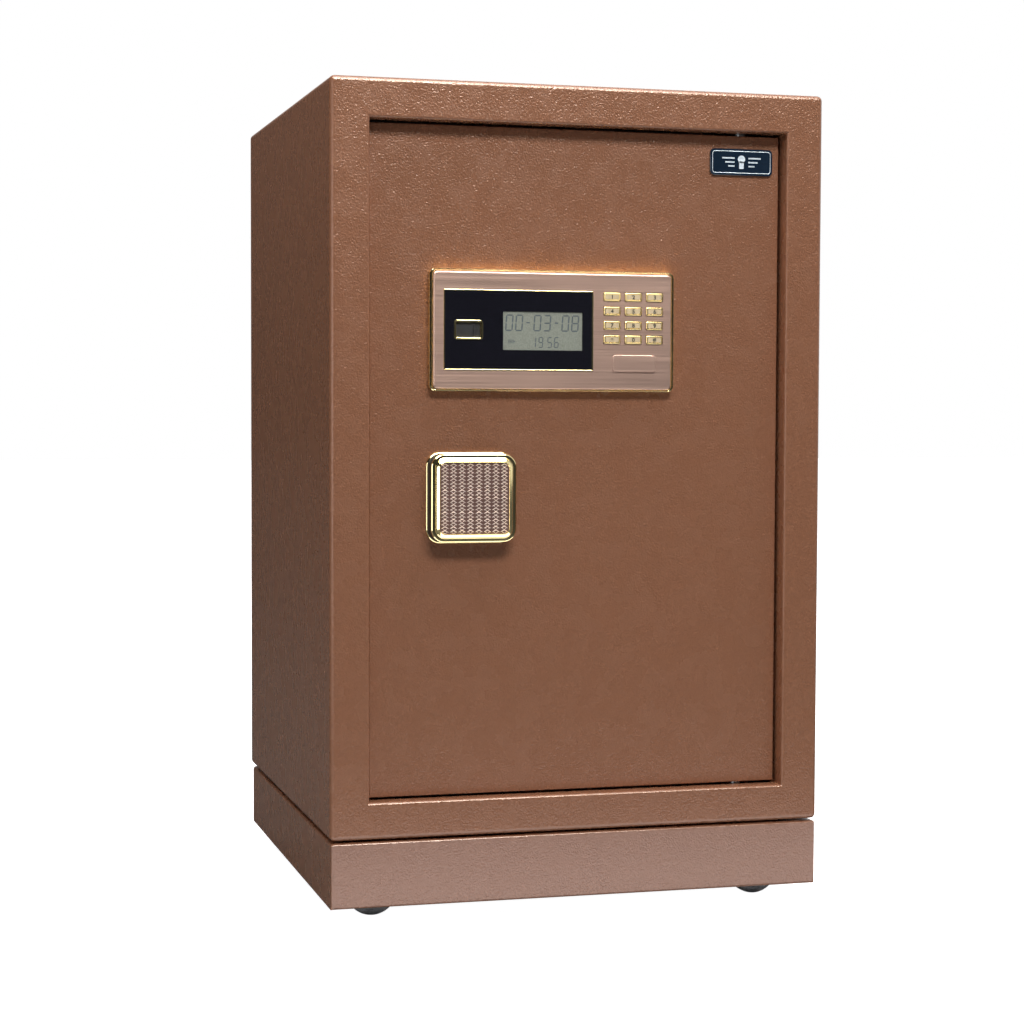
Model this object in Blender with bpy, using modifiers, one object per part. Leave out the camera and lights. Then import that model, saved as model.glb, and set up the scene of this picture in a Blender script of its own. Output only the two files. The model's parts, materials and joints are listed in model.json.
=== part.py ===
"""A floor-standing deposit safe with a fingerprint and keypad lock.

Metres, +Z up. The front faces -Y and +X is to the right, seen from the front.
The origin is on the floor, under the middle of the whole object. The door is
shut and its bolts are drawn back, so the door is free to swing.
"""

import math

import bmesh
import bpy
from mathutils import Matrix, Vector

# Overall sizes
WIDTH = 0.380
DEPTH = 0.369
BODY_HEIGHT = 0.5527
PLINTH_HEIGHT = 0.0484
SEAM = 0.0015
FLOOR_GAP = 0.013
KNOB_PROUD = 0.003

FRONT = -(DEPTH - KNOB_PROUD) / 2
BACK = FRONT + DEPTH
PLINTH_BOTTOM = FLOOR_GAP
PLINTH_TOP = PLINTH_BOTTOM + PLINTH_HEIGHT
BODY_BOTTOM = PLINTH_TOP + SEAM
BODY_TOP = BODY_BOTTOM + BODY_HEIGHT

# Sheet metal
GAP = 0.0003
SHEET = 0.002
FOLD_RADIUS = 0.004
LINER_SHEET = 0.0015
PLINTH_INSET = 0.0006
PLINTH_BACK_INSET = 0.0035

# Front frame and door opening
SIDE_FLANGE = 0.0291
TOP_FLANGE = 0.0293
BOTTOM_FLANGE = 0.0272
RETURN_DEPTH = 0.028
OPENING_RADIUS = 0.002
OPEN_X = WIDTH / 2 - SIDE_FLANGE
OPEN_BOTTOM = BODY_BOTTOM + BOTTOM_FLANGE
OPEN_TOP = BODY_TOP - TOP_FLANGE
OPEN_MIDDLE = (OPEN_BOTTOM + OPEN_TOP) / 2

# Door plate
DOOR_GAP = 0.002
DOOR_RECESS = 0.0125
PLATE = 0.005
PLATE_FRONT = FRONT + DOOR_RECESS
PLATE_BACK = PLATE_FRONT + PLATE
PIVOT_X = 0.131
PIVOT_Y = FRONT + 0.022
PIN_RADIUS = 0.0045
PIN_CLEARANCE = 0.0003
KNUCKLE_HEIGHT = 0.032

# Box behind the door plate that holds the bolt work
BOX_LEFT = -0.147
BOX_RIGHT = 0.100
BOX_BACK = FRONT + 0.052
BOX_INSET = 0.015
BOX_BOTTOM = OPEN_BOTTOM + BOX_INSET
BOX_TOP = OPEN_TOP - BOX_INSET

# Slot in the box's cover, for reaching the bolt work
SLOT_X = 0.020
SLOT_Z = OPEN_MIDDLE - 0.0225
SLOT_LENGTH = 0.060
SLOT_WIDTH = 0.011

# Bolt work, in layers behind the plate
KNOB_X = -0.083
KNOB_Z = BODY_BOTTOM + 0.249
THROW = 0.025
CRANK_REACH = THROW / math.sqrt(2)
CRANK_RADIUS = 0.023
CRANK_PIN_RADIUS = 0.003
DISC_FRONT = FRONT + 0.024
DISC_BACK = FRONT + 0.027
ROD_LAYER = (FRONT + 0.0345, FRONT + 0.037)
CARRIER_LAYER = (FRONT + 0.039, FRONT + 0.042)
CARRIER_RIGHT = -0.101
CARRIER_LEFT = -0.117
BOLT_RADIUS = 0.008
BOLT_Y = FRONT + 0.0405
BOLT_SPREAD = 0.175
ROD_TIP_RADIUS = 0.006
ROD_TIP_Y = FRONT + 0.036
ROD_OFFSET = 0.027
DEAD_BOLT_Y = FRONT + 0.038
DEAD_BOLT_RADIUS = 0.007
DEAD_BOLT_SPREAD = 0.120
DEAD_BOLT_TIP = 0.170

# Control panel
PANEL_X = -0.0209
PANEL_Z = BODY_BOTTOM + 0.3721
PANEL_WIDTH = 0.1887
PANEL_HEIGHT = 0.0896
PANEL_FRONT = FRONT + 0.0063
BEZEL_FRONT = FRONT + 0.0053
BEZEL_PLATE = 0.002
BEZEL_WIDTH = 0.1836
BEZEL_HEIGHT = 0.0861
WINDOW_X = -0.0477
WINDOW_Z = BODY_BOTTOM + 0.3722
WINDOW_WIDTH = 0.1146
WINDOW_HEIGHT = 0.0593
LCD_X = -0.0295
LCD_Z = BODY_BOTTOM + 0.3719
LCD_WIDTH = 0.0609
LCD_HEIGHT = 0.0282
FINGER_X = -0.0861
FINGER_Z = BODY_BOTTOM + 0.3722
FINGER_WIDTH = 0.0218
FINGER_HEIGHT = 0.0143
KEY_WIDTH = 0.0130
KEY_HEIGHT = 0.0062
KEY_FIRST_X = 0.0240
KEY_FIRST_Z = BODY_BOTTOM + 0.3980
KEY_PITCH_X = 0.01668
KEY_PITCH_Z = 0.01056
KEY_PROUD = 0.0009
KEY_NAMES = ("1", "2", "3", "4", "5", "6", "7", "8", "9", "star", "0", "hash")
COVER_X = 0.0415
COVER_Z = BODY_BOTTOM + 0.3485
COVER_WIDTH = 0.0335
COVER_HEIGHT = 0.0127
KEYHOLE_X = 0.0500
LOCK_RADIUS = 0.0085
CORE_RADIUS = 0.0045

# Nameplate
BADGE_X = 0.1281
BADGE_Z = BODY_BOTTOM + 0.5016
BADGE_WIDTH = 0.0501
BADGE_HEIGHT = 0.0199

# Shelf and castors
SHELF_Z = BODY_BOTTOM + 0.285
SHELF_FRONT = FRONT + 0.080
LINER_BACK = BACK - 0.026
CASTOR_X = 0.139
CASTOR_INSET_Y = 0.0385
CASTOR_TRAIL = 0.013
WHEEL_RADIUS = 0.020
WHEEL_WIDTH = 0.017
AXLE_RADIUS = 0.003

PARTS = bpy.data.collections.new("deposit_safe")
CUTTERS = bpy.data.collections.new("cutters")


def clear_scene():
    for thing in list(bpy.data.objects):
        bpy.data.objects.remove(thing, do_unlink=True)
    for group in (PARTS, CUTTERS):
        bpy.context.scene.collection.children.link(group)
    CUTTERS.hide_render = True


def finish(name, colour, roughness, metallic=0.0):
    """A plain Principled material."""
    material = bpy.data.materials.new(name)
    material.use_nodes = True
    shader = material.node_tree.nodes["Principled BSDF"]
    shader.inputs["Base Color"].default_value = (*colour, 1.0)
    shader.inputs["Roughness"].default_value = roughness
    shader.inputs["Metallic"].default_value = metallic
    return material


PAINT = finish("bronze_hammered_paint", (0.23, 0.115, 0.07), 0.42, 0.3)
LINING = finish("grey_flocked_lining", (0.11, 0.10, 0.095), 0.95)
STEEL = finish("zinc_plated_steel", (0.62, 0.63, 0.64), 0.35, 1.0)
GOLD = finish("gold_plate", (0.80, 0.60, 0.25), 0.18, 1.0)
ROSE = finish("rose_bronze_anodised", (0.37, 0.24, 0.19), 0.35, 0.6)
BLACK_GLOSS = finish("black_display_glass", (0.01, 0.01, 0.015), 0.08)
BLACK = finish("black_plastic", (0.03, 0.03, 0.032), 0.5)
LCD_GREY = finish("lcd_grey", (0.30, 0.33, 0.26), 0.3)
GREEN = finish("green_circuit_board", (0.03, 0.16, 0.07), 0.45)
BRASS = finish("brass", (0.72, 0.52, 0.22), 0.3, 1.0)
TREAD = finish("grey_wheel_tread", (0.09, 0.09, 0.10), 0.6)
RED = finish("red_plastic", (0.5, 0.03, 0.03), 0.4)
BADGE_BLUE = finish("dark_enamel", (0.01, 0.02, 0.03), 0.15)


def add_box(bm, low, high, edge=0.0, segments=2, along=None):
    """Adds a box between two corners. Its edges are rounded, or only those along one axis."""
    low = Vector(low)
    high = Vector(high)
    scale = Matrix.Diagonal((*(high - low), 1.0))
    made = bmesh.ops.create_cube(bm, size=1.0, matrix=Matrix.Translation((low + high) / 2) @ scale)
    if edge:
        edges = {e for v in made["verts"] for e in v.link_edges}
        if along is not None:
            direction = Vector([float(i == along) for i in range(3)])
            edges = {e for e in edges if is_along(e, direction)}
        bmesh.ops.bevel(bm, geom=list(edges), offset=edge, segments=segments,
                        profile=0.5, affect="EDGES", clamp_overlap=True)


def is_along(edge, direction):
    run = (edge.verts[1].co - edge.verts[0].co).normalized()
    return abs(run.dot(direction)) > 0.99


def add_rod(bm, start, end, radius, sides=20):
    """Adds a closed cylinder between two points."""
    start = Vector(start)
    end = Vector(end)
    turn = (end - start).to_track_quat("Z", "Y").to_matrix().to_4x4()
    bmesh.ops.create_cone(bm, cap_ends=True, segments=sides, radius1=radius, radius2=radius,
                          depth=(end - start).length,
                          matrix=Matrix.Translation((start + end) / 2) @ turn)


def to_object(name, bm, group):
    bmesh.ops.recalc_face_normals(bm, faces=bm.faces)
    mesh = bpy.data.meshes.new(name)
    bm.to_mesh(mesh)
    bm.free()
    thing = bpy.data.objects.new(name, mesh)
    group.objects.link(thing)
    return thing


def piece(name, bm, material, origin=None, parent=None):
    """A named piece of the safe, with its origin at a point and an optional parent."""
    thing = to_object(name, bm, PARTS)
    thing.data.materials.append(material)
    thing.data.shade_smooth()
    thing.data.set_sharp_from_angle(angle=math.radians(35))
    if origin is not None:
        thing.data.transform(Matrix.Translation(-Vector(origin)))
        thing.location = origin
    if parent is not None:
        ride_on(thing, parent)
    return thing


def ride_on(thing, parent):
    bpy.context.view_layer.update()
    thing.parent = parent
    thing.matrix_parent_inverse = parent.matrix_world.inverted()


def block(name, low, high, material, edge=0.0, segments=2, along=None, origin=None, parent=None):
    bm = bmesh.new()
    add_box(bm, low, high, edge, segments, along)
    return piece(name, bm, material, origin, parent)


def rod(name, start, end, radius, material, sides=20, origin=None, parent=None):
    bm = bmesh.new()
    add_rod(bm, start, end, radius, sides)
    return piece(name, bm, material, origin, parent)


def combine(target, bm, operation):
    """Cuts a shape from a piece, or joins it on, with a Boolean modifier."""
    tool = to_object(f"{target.name}_{operation.lower()}_{len(target.modifiers)}", bm, CUTTERS)
    tool.hide_render = True
    tool.display_type = "WIRE"
    modifier = target.modifiers.new(tool.name, "BOOLEAN")
    modifier.operation = operation
    modifier.object = tool


def cut_boxes(target, boxes, edge=0.0, segments=2, along=None):
    bm = bmesh.new()
    for low, high in boxes:
        add_box(bm, low, high, edge, segments, along)
    combine(target, bm, "DIFFERENCE")


def cut_rods(target, rods, sides=20):
    bm = bmesh.new()
    for start, end, radius in rods:
        add_rod(bm, start, end, radius, sides)
    combine(target, bm, "DIFFERENCE")


def join_box(target, low, high, edge=0.0, segments=2, along=None):
    bm = bmesh.new()
    add_box(bm, low, high, edge, segments, along)
    combine(target, bm, "UNION")


def join_rod(target, start, end, radius, sides=20):
    bm = bmesh.new()
    add_rod(bm, start, end, radius, sides)
    combine(target, bm, "UNION")


def pivot(name, place, parent=None):
    empty = bpy.data.objects.new(name, None)
    empty.location = place
    empty.empty_display_size = 0.03
    PARTS.objects.link(empty)
    if parent is not None:
        ride_on(empty, parent)
    return empty


def around(x, z, width, height, front, back):
    """The two corners of a block centred on a point of the front."""
    return (x - width / 2, front, z - height / 2), (x + width / 2, back, z + height / 2)


def bolt_heights():
    return [OPEN_MIDDLE + side * BOLT_SPREAD for side in (-1, 0, 1)]


def dead_bolt_heights():
    return [OPEN_MIDDLE + side * DEAD_BOLT_SPREAD for side in (-1, 1)]


def rounded_front_box(low, high, radius, segments):
    """A box whose front and lengthwise edges are folded round, and whose back edges are square."""
    bm = bmesh.new()
    add_box(bm, low, high)
    at_back = {v for v in bm.verts if v.co.y > high[1] - SHEET / 2}
    folded = [e for e in bm.edges if not set(e.verts) <= at_back]
    bmesh.ops.bevel(bm, geom=folded, offset=radius, segments=segments, profile=0.5,
                    affect="EDGES", clamp_overlap=True)
    return bm


def make_outer_shell():
    half = WIDTH / 2
    bm = rounded_front_box((-half, FRONT, BODY_BOTTOM), (half, BACK, BODY_TOP), FOLD_RADIUS, 4)
    shell = piece("outer_shell", bm, PAINT)
    wall = half - SHEET
    past_back = BACK + 0.01
    cut_boxes(shell, [((-wall, FRONT + RETURN_DEPTH, BODY_BOTTOM + SHEET),
                       (wall, past_back, BODY_TOP - SHEET))])
    ring = OPEN_X + SHEET
    hollows = (
        ((-wall, -ring), (BODY_BOTTOM + SHEET, BODY_TOP - SHEET)),
        ((ring, wall), (BODY_BOTTOM + SHEET, BODY_TOP - SHEET)),
        ((-ring - SHEET, ring + SHEET), (BODY_BOTTOM + SHEET, OPEN_BOTTOM - SHEET)),
        ((-ring - SHEET, ring + SHEET), (OPEN_TOP + SHEET, BODY_TOP - SHEET)),
    )
    for (left, right), (bottom, top) in hollows:
        cut_boxes(shell, [((left, FRONT + SHEET, bottom),
                           (right, FRONT + RETURN_DEPTH + SHEET, top))])
    cut_boxes(shell, [((-OPEN_X, FRONT - 0.01, OPEN_BOTTOM), (OPEN_X, FRONT + 0.04, OPEN_TOP))])
    combine(shell, opening_rounding(), "DIFFERENCE")
    cut_rods(shell, [((PIVOT_X, PIVOT_Y, z - 0.005), (PIVOT_X, PIVOT_Y, z + 0.005),
                      PIN_RADIUS + PIN_CLEARANCE)
                     for z in (OPEN_TOP + SHEET / 2, OPEN_BOTTOM - SHEET / 2)])


def opening_rounding():
    """A flared plug that folds the front edge of the door opening round."""
    steps = 4
    ends = [(FRONT - 0.001, OPENING_RADIUS)]
    for step in range(steps + 1):
        angle = math.pi / 2 * (1 - step / steps)
        ends.append((FRONT + OPENING_RADIUS * (1 - math.sin(angle)),
                     OPENING_RADIUS * (1 - math.cos(angle))))
    bm = bmesh.new()
    rings = []
    for y, flare in ends:
        x = OPEN_X + flare
        low, high = OPEN_BOTTOM - flare, OPEN_TOP + flare
        rings.append([bm.verts.new(corner) for corner in
                      ((-x, y, low), (x, y, low), (x, y, high), (-x, y, high))])
    for first, second in zip(rings, rings[1:]):
        for i in range(4):
            bm.faces.new((first[i], first[i - 1], second[i - 1], second[i]))
    bm.faces.new(rings[0])
    bm.faces.new(rings[-1])
    return bm


def make_rear_panel():
    inset = SHEET + GAP
    half = WIDTH / 2 - inset
    block("rear_panel", (-half, BACK - 0.0025, BODY_BOTTOM + inset),
          (half, BACK - 0.0005, BODY_TOP - inset), PAINT)


def make_inner_liner():
    front = FRONT + RETURN_DEPTH + GAP
    outer = OPEN_X + LINER_SHEET
    liner = block("inner_liner", (-outer, front, OPEN_BOTTOM - LINER_SHEET),
                  (outer, LINER_BACK + LINER_SHEET, OPEN_TOP + LINER_SHEET), LINING)
    cut_boxes(liner, [((-OPEN_X, front - 0.01, OPEN_BOTTOM), (OPEN_X, LINER_BACK, OPEN_TOP))])
    left = -OPEN_X - 0.006
    cut_rods(liner, [((left, BOLT_Y, z), (-OPEN_X + 0.006, BOLT_Y, z), BOLT_RADIUS + 0.0012)
                     for z in bolt_heights()])
    cut_rods(liner, [((KNOB_X + side * ROD_OFFSET, ROD_TIP_Y, z - 0.006),
                      (KNOB_X + side * ROD_OFFSET, ROD_TIP_Y, z + 0.006), ROD_TIP_RADIUS + 0.0012)
                     for side, z in ((1, OPEN_TOP), (-1, OPEN_BOTTOM))])
    sweep = 0.022
    reach = DEAD_BOLT_RADIUS + 0.002
    cut_boxes(liner, [((OPEN_X - 0.006, DEAD_BOLT_Y - reach, z - reach),
                       (OPEN_X + 0.006, DEAD_BOLT_Y + sweep, z + reach))
                      for z in dead_bolt_heights()])


def make_door_stop():
    """The angle inside the left, top and bottom of the opening that the door shuts against."""
    front = PLATE_BACK + 0.0008
    back = front + SHEET
    lip = 0.008
    stop_right = 0.108
    outer = OPEN_X - GAP
    stop = block("door_stop", (-outer, front, OPEN_BOTTOM + GAP),
                 (stop_right, back, OPEN_TOP - GAP), PAINT)
    cut_boxes(stop, [((-outer + lip, front - 0.01, OPEN_BOTTOM + GAP + lip),
                      (stop_right + 0.01, back + 0.01, OPEN_TOP - GAP - lip))])


def make_hinge_pins():
    inside = KNUCKLE_HEIGHT - 0.004
    for name, plate_end, side in (("upper_hinge_pin", OPEN_TOP - DOOR_GAP, 1),
                                  ("lower_hinge_pin", OPEN_BOTTOM + DOOR_GAP, -1)):
        start = plate_end - side * inside
        rod(name, (PIVOT_X, PIVOT_Y, start), (PIVOT_X, PIVOT_Y, plate_end + side * 0.012),
            PIN_RADIUS, STEEL, 20)


def make_shelf():
    half = OPEN_X - 0.0015
    back = LINER_BACK - 0.006
    shelf = block("shelf", (-half, SHELF_FRONT, SHELF_Z), (half, back, SHELF_Z + SHEET), LINING)
    join_box(shelf, (-half, SHELF_FRONT, SHELF_Z - 0.012), (half, SHELF_FRONT + SHEET, SHELF_Z + SHEET))
    leg = 0.012
    start = SHELF_FRONT + 0.006
    for name, side in (("shelf_bracket_left", -1), ("shelf_bracket_right", 1)):
        wall = side * (OPEN_X - GAP)
        inner = wall - side * leg
        xs = sorted((wall, inner))
        bracket = block(name, (xs[0], start, SHELF_Z - GAP - leg), (xs[1], back, SHELF_Z - GAP), STEEL)
        cut = sorted((inner - side * 0.01, wall - side * LINER_SHEET))
        cut_boxes(bracket, [((cut[0], start - 0.01, SHELF_Z - GAP - leg - 0.01),
                             (cut[1], back + 0.01, SHELF_Z - GAP - LINER_SHEET))])


def castor_places():
    """Name, position over the floor and trail direction of each castor."""
    front = FRONT + CASTOR_INSET_Y
    back = BACK - PLINTH_BACK_INSET - CASTOR_INSET_Y
    for depth_name, y in (("front", front), ("rear", back)):
        for side_name, side in (("left", -1), ("right", 1)):
            yield f"{depth_name}_{side_name}", Vector((side * CASTOR_X, y, 0.0)), side


def make_plinth():
    half = WIDTH / 2 - PLINTH_INSET
    low = (-half, FRONT + PLINTH_INSET, PLINTH_BOTTOM)
    high = (half, BACK - PLINTH_BACK_INSET, PLINTH_TOP)
    bm = bmesh.new()
    add_box(bm, low, high)
    folded = [e for e in bm.edges if max(v.co.z for v in e.verts) > PLINTH_BOTTOM + SHEET]
    bmesh.ops.bevel(bm, geom=folded, offset=0.002, segments=2, profile=0.5, affect="EDGES",
                    clamp_overlap=True)
    plinth = piece("plinth", bm, PAINT)
    cut_boxes(plinth, [((low[0] + SHEET, low[1] + SHEET, PLINTH_BOTTOM - 0.01),
                        (high[0] - SHEET, high[1] - SHEET, PLINTH_TOP - SHEET))])
    cut_rods(plinth, [(place + Vector((0, 0, PLINTH_TOP - 0.01)),
                       place + Vector((0, 0, PLINTH_TOP + 0.01)), 0.0045)
                      for _, place, _ in castor_places()])


def make_castor(name, place, side):
    """A swivel fork whose axle carries a wheel, set outwards by the trail."""
    crown_top = PLINTH_TOP - SHEET - GAP
    crown_bottom = 2 * WHEEL_RADIUS + 0.004
    axle = place + Vector((side * CASTOR_TRAIL, 0, WHEEL_RADIUS))
    bm = bmesh.new()
    add_rod(bm, place + Vector((0, 0, crown_bottom)), place + Vector((0, 0, crown_top)), 0.015, 24)
    fork = piece(f"castor_fork_{name}", bm, STEEL, place)
    join_rod(fork, place + Vector((0, 0, crown_top - 0.002)),
             place + Vector((0, 0, PLINTH_TOP + 0.0007)), 0.004, 16)
    cheek = 0.0015
    room = WHEEL_WIDTH / 2 + 0.001
    for face in (-1, 1):
        ys = sorted((place.y + face * room, place.y + face * (room + cheek)))
        xs = sorted((place.x - side * 0.010, axle.x + side * 0.006))
        join_box(fork, (xs[0], ys[0], WHEEL_RADIUS - 0.006), (xs[1], ys[1], crown_bottom + 0.002))
    join_rod(fork, axle - Vector((0, room + 0.003, 0)), axle + Vector((0, room + 0.003, 0)),
             AXLE_RADIUS, 16)
    wheel = turned_wheel(f"castor_wheel_{name}", axle)
    ride_on(wheel, fork)


def turned_wheel(name, axle):
    """A wheel turned about its axle from a profile that runs down its outer side."""
    half = WHEEL_WIDTH / 2
    bore = AXLE_RADIUS + 0.0003
    corner = 0.003
    profile = [(bore, half), (WHEEL_RADIUS - 0.006, half), (WHEEL_RADIUS - 0.006, half - 0.001),
               (WHEEL_RADIUS - corner, half - 0.001)]
    turns = 3
    for step in range(turns + 1):
        angle = math.pi / 2 * (1 - step / turns)
        profile.append((WHEEL_RADIUS - corner + corner * math.cos(angle),
                        half - 0.001 - corner + corner * math.sin(angle)))
    mirrored = [(radius, -height) for radius, height in reversed(profile)]
    outline = profile + mirrored
    bm = bmesh.new()
    points = [bm.verts.new((radius, 0.0, height)) for radius, height in without_repeats(outline)]
    for first, second in zip(points, points[1:] + points[:1]):
        bm.edges.new((first, second))
    wheel = to_object(name, bm, PARTS)
    wheel.data.materials.append(TREAD)
    wheel.rotation_euler = (math.radians(90), 0, 0)
    wheel.location = axle
    screw = wheel.modifiers.new("turn", "SCREW")
    screw.axis = "Z"
    screw.steps = 24
    screw.render_steps = 24
    screw.use_merge_vertices = True
    screw.merge_threshold = 0.00001
    screw.use_smooth_shade = True
    return wheel


def without_repeats(points):
    """Drops a point that repeats the one before it."""
    kept = []
    for point in points:
        if not kept or math.dist(kept[-1], point) > 1e-6:
            kept.append(point)
    return kept


def make_door_plate(door):
    low = (-OPEN_X + DOOR_GAP, PLATE_FRONT, OPEN_BOTTOM + DOOR_GAP)
    high = (OPEN_X - DOOR_GAP, PLATE_BACK, OPEN_TOP - DOOR_GAP)
    origin = (PIVOT_X, PIVOT_Y, OPEN_MIDDLE)
    plate = block("door_plate", low, high, PAINT, edge=0.0008, segments=2, origin=origin, parent=door)
    for end, side in ((high[2], 1), (low[2], -1)):
        zs = sorted((end, end - side * KNUCKLE_HEIGHT))
        join_box(plate, (PIVOT_X - 0.008, PLATE_BACK - 0.001, zs[0] + 0.001),
                 (PIVOT_X + 0.008, PIVOT_Y + 0.008, zs[1] - 0.001))
        cut_rods(plate, [((PIVOT_X, PIVOT_Y, end + side * 0.01),
                          (PIVOT_X, PIVOT_Y, end - side * (KNUCKLE_HEIGHT - 0.003)),
                          PIN_RADIUS + PIN_CLEARANCE)])
    spindle_hole = ((KNOB_X, PLATE_FRONT - 0.01, KNOB_Z), (KNOB_X, PLATE_BACK + 0.01, KNOB_Z), 0.0068)
    lock_hole = ((KEYHOLE_X, PLATE_FRONT - 0.01, COVER_Z), (KEYHOLE_X, PLATE_BACK + 0.01, COVER_Z),
                 LOCK_RADIUS + GAP)
    cable_hole = ((0.0, PLATE_FRONT - 0.01, PANEL_Z - 0.03), (0.0, PLATE_BACK + 0.01, PANEL_Z - 0.03),
                  0.006)
    cut_rods(plate, [spindle_hole, lock_hole, cable_hole])


def make_door_box(door):
    front = PLATE_BACK + GAP
    frame = block("door_frame", (BOX_LEFT, front, BOX_BOTTOM), (BOX_RIGHT, BOX_BACK, BOX_TOP),
                  PAINT, parent=door)
    cut_boxes(frame, [((BOX_LEFT + SHEET, front - 0.01, BOX_BOTTOM + SHEET),
                       (BOX_RIGHT - SHEET, BOX_BACK + 0.01, BOX_TOP - SHEET))])
    for z in dead_bolt_heights():
        join_rod(frame, (BOX_RIGHT - SHEET / 2, DEAD_BOLT_Y, z), (DEAD_BOLT_TIP, DEAD_BOLT_Y, z),
                 DEAD_BOLT_RADIUS)
    clearance = 0.0004
    cut_rods(frame, [((BOX_LEFT - 0.01, BOLT_Y, z), (BOX_LEFT + 0.01, BOLT_Y, z),
                      BOLT_RADIUS + clearance) for z in bolt_heights()])
    cut_rods(frame, [((KNOB_X + side * ROD_OFFSET, ROD_TIP_Y, z - 0.01),
                      (KNOB_X + side * ROD_OFFSET, ROD_TIP_Y, z + 0.01),
                      ROD_TIP_RADIUS + clearance) for side, z in ((1, BOX_TOP), (-1, BOX_BOTTOM))])
    cover_front = BOX_BACK + GAP
    cover = block("door_back_cover", (BOX_LEFT, cover_front, BOX_BOTTOM),
                  (BOX_RIGHT, cover_front + SHEET, BOX_TOP), PAINT, parent=door)
    low, high = around(SLOT_X, SLOT_Z, SLOT_LENGTH, SLOT_WIDTH, cover_front - 0.01, cover_front + 0.01)
    cut_boxes(cover, [(low, high)], edge=0.0045, segments=3, along=1)
    make_reset_button(door, cover, cover_front)
    make_battery_box(door, cover_front + SHEET + GAP)


def make_reset_button(door, cover, cover_front):
    place = Vector((0.080, cover_front, OPEN_MIDDLE))
    radius = 0.005
    cut_rods(cover, [(place - Vector((0, 0.01, 0)), place + Vector((0, 0.01, 0)), radius + GAP)])
    rod("reset_button", place - Vector((0, 0.004, 0)), place + Vector((0, SHEET + 0.0025, 0)),
        radius, RED, 20, origin=place, parent=door)


def make_battery_box(door, front):
    """A tray for four cells on the inner side of the door, with a lid that slides sideways."""
    width = 0.070
    height = 0.064
    deep = 0.017
    wall = 0.0018
    x = 0.015
    z = OPEN_MIDDLE + 0.110
    low, high = around(x, z, width, height, front, front + deep)
    tray = block("battery_box", low, high, BLACK, edge=0.002, segments=2, along=1, parent=door)
    cut_boxes(tray, [((low[0] + wall, low[1] + wall, low[2] + wall),
                      (high[0] - wall, high[1] + 0.01, high[2] - wall))])
    lid_front = high[1] + GAP
    place = (x, lid_front, z)
    lid = block("battery_lid", (low[0], lid_front, low[2]), (high[0], lid_front + wall, high[2]), BLACK,
                edge=0.002, segments=2, along=1, origin=place, parent=door)
    for rib in range(3):
        rib_x = high[0] - 0.008 - rib * 0.004
        join_box(lid, (rib_x - 0.001, lid_front + wall / 2, z - 0.012),
                 (rib_x + 0.001, lid_front + wall + 0.0008, z + 0.012))


def make_handle(door):
    """Square knob on a spindle, whose crank disc drives the bolts."""
    axis = (KNOB_X, PLATE_FRONT, KNOB_Z)
    hub = pivot("handle_pivot", axis, door)
    base = 0.0674
    base_front = PLATE_FRONT - 0.0033
    waist = 0.0600
    face = 0.0545
    face_front = FRONT - KNOB_PROUD
    low, high = around(KNOB_X, KNOB_Z, base, base, base_front, PLATE_FRONT - GAP)
    body = block("handle_body", low, high, GOLD, edge=0.0095, segments=4, along=1,
                 origin=axis, parent=hub)
    bm = bmesh.new()
    low, high = around(KNOB_X, KNOB_Z, waist, waist, face_front, base_front + 0.001)
    add_box(bm, low, high, edge=0.008, segments=4, along=1)
    shrink = face / waist
    for vertex in bm.verts:
        if vertex.co.y < face_front + 0.001:
            vertex.co.x = KNOB_X + (vertex.co.x - KNOB_X) * shrink
            vertex.co.z = KNOB_Z + (vertex.co.z - KNOB_Z) * shrink
    combine(body, bm, "UNION")
    inlay = 0.0521
    recess = 0.0012
    low, high = around(KNOB_X, KNOB_Z, inlay, inlay, face_front - 0.01, face_front + recess)
    cut_boxes(body, [(low, high)], edge=0.0045, segments=3, along=1)
    cut_rods(body, [((KNOB_X, PLATE_FRONT - 0.009, KNOB_Z), (KNOB_X, PLATE_FRONT + 0.01, KNOB_Z),
                     0.0063)])
    side = inlay - 2 * GAP
    low, high = around(KNOB_X, KNOB_Z, side, side, face_front + 0.0003, face_front + recess - GAP)
    block("handle_inlay", low, high, ROSE, edge=0.0042, segments=3, along=1, origin=axis, parent=hub)
    rod("handle_spindle", (KNOB_X, PLATE_FRONT - 0.0087, KNOB_Z), (KNOB_X, DISC_BACK + 0.001, KNOB_Z),
        0.006, STEEL, 20, origin=axis, parent=hub)
    make_crank_disc(hub, axis)


def crank_pins():
    """Where the disc's three pins stand at rest, each with how far back it reaches."""
    half = THROW / 2
    rod_end = ROD_LAYER[1] + 0.0008
    carrier_end = CARRIER_LAYER[1] + 0.0008
    return {
        "top": (KNOB_X + half, KNOB_Z - half, rod_end),
        "carrier": (KNOB_X + half, KNOB_Z + half, carrier_end),
        "bottom": (KNOB_X - half, KNOB_Z + half, rod_end),
    }


def make_crank_disc(hub, axis):
    disc = rod("crank_disc", (KNOB_X, DISC_FRONT, KNOB_Z), (KNOB_X, DISC_BACK, KNOB_Z),
               CRANK_RADIUS, STEEL, 32, origin=axis, parent=hub)
    cut_rods(disc, [((KNOB_X, DISC_FRONT - 0.01, KNOB_Z), (KNOB_X, DISC_BACK + 0.01, KNOB_Z),
                     0.0063)])
    for x, z, end in crank_pins().values():
        join_rod(disc, (x, DISC_BACK - 0.001, z), (x, end, z), CRANK_PIN_RADIUS, 16)


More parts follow.
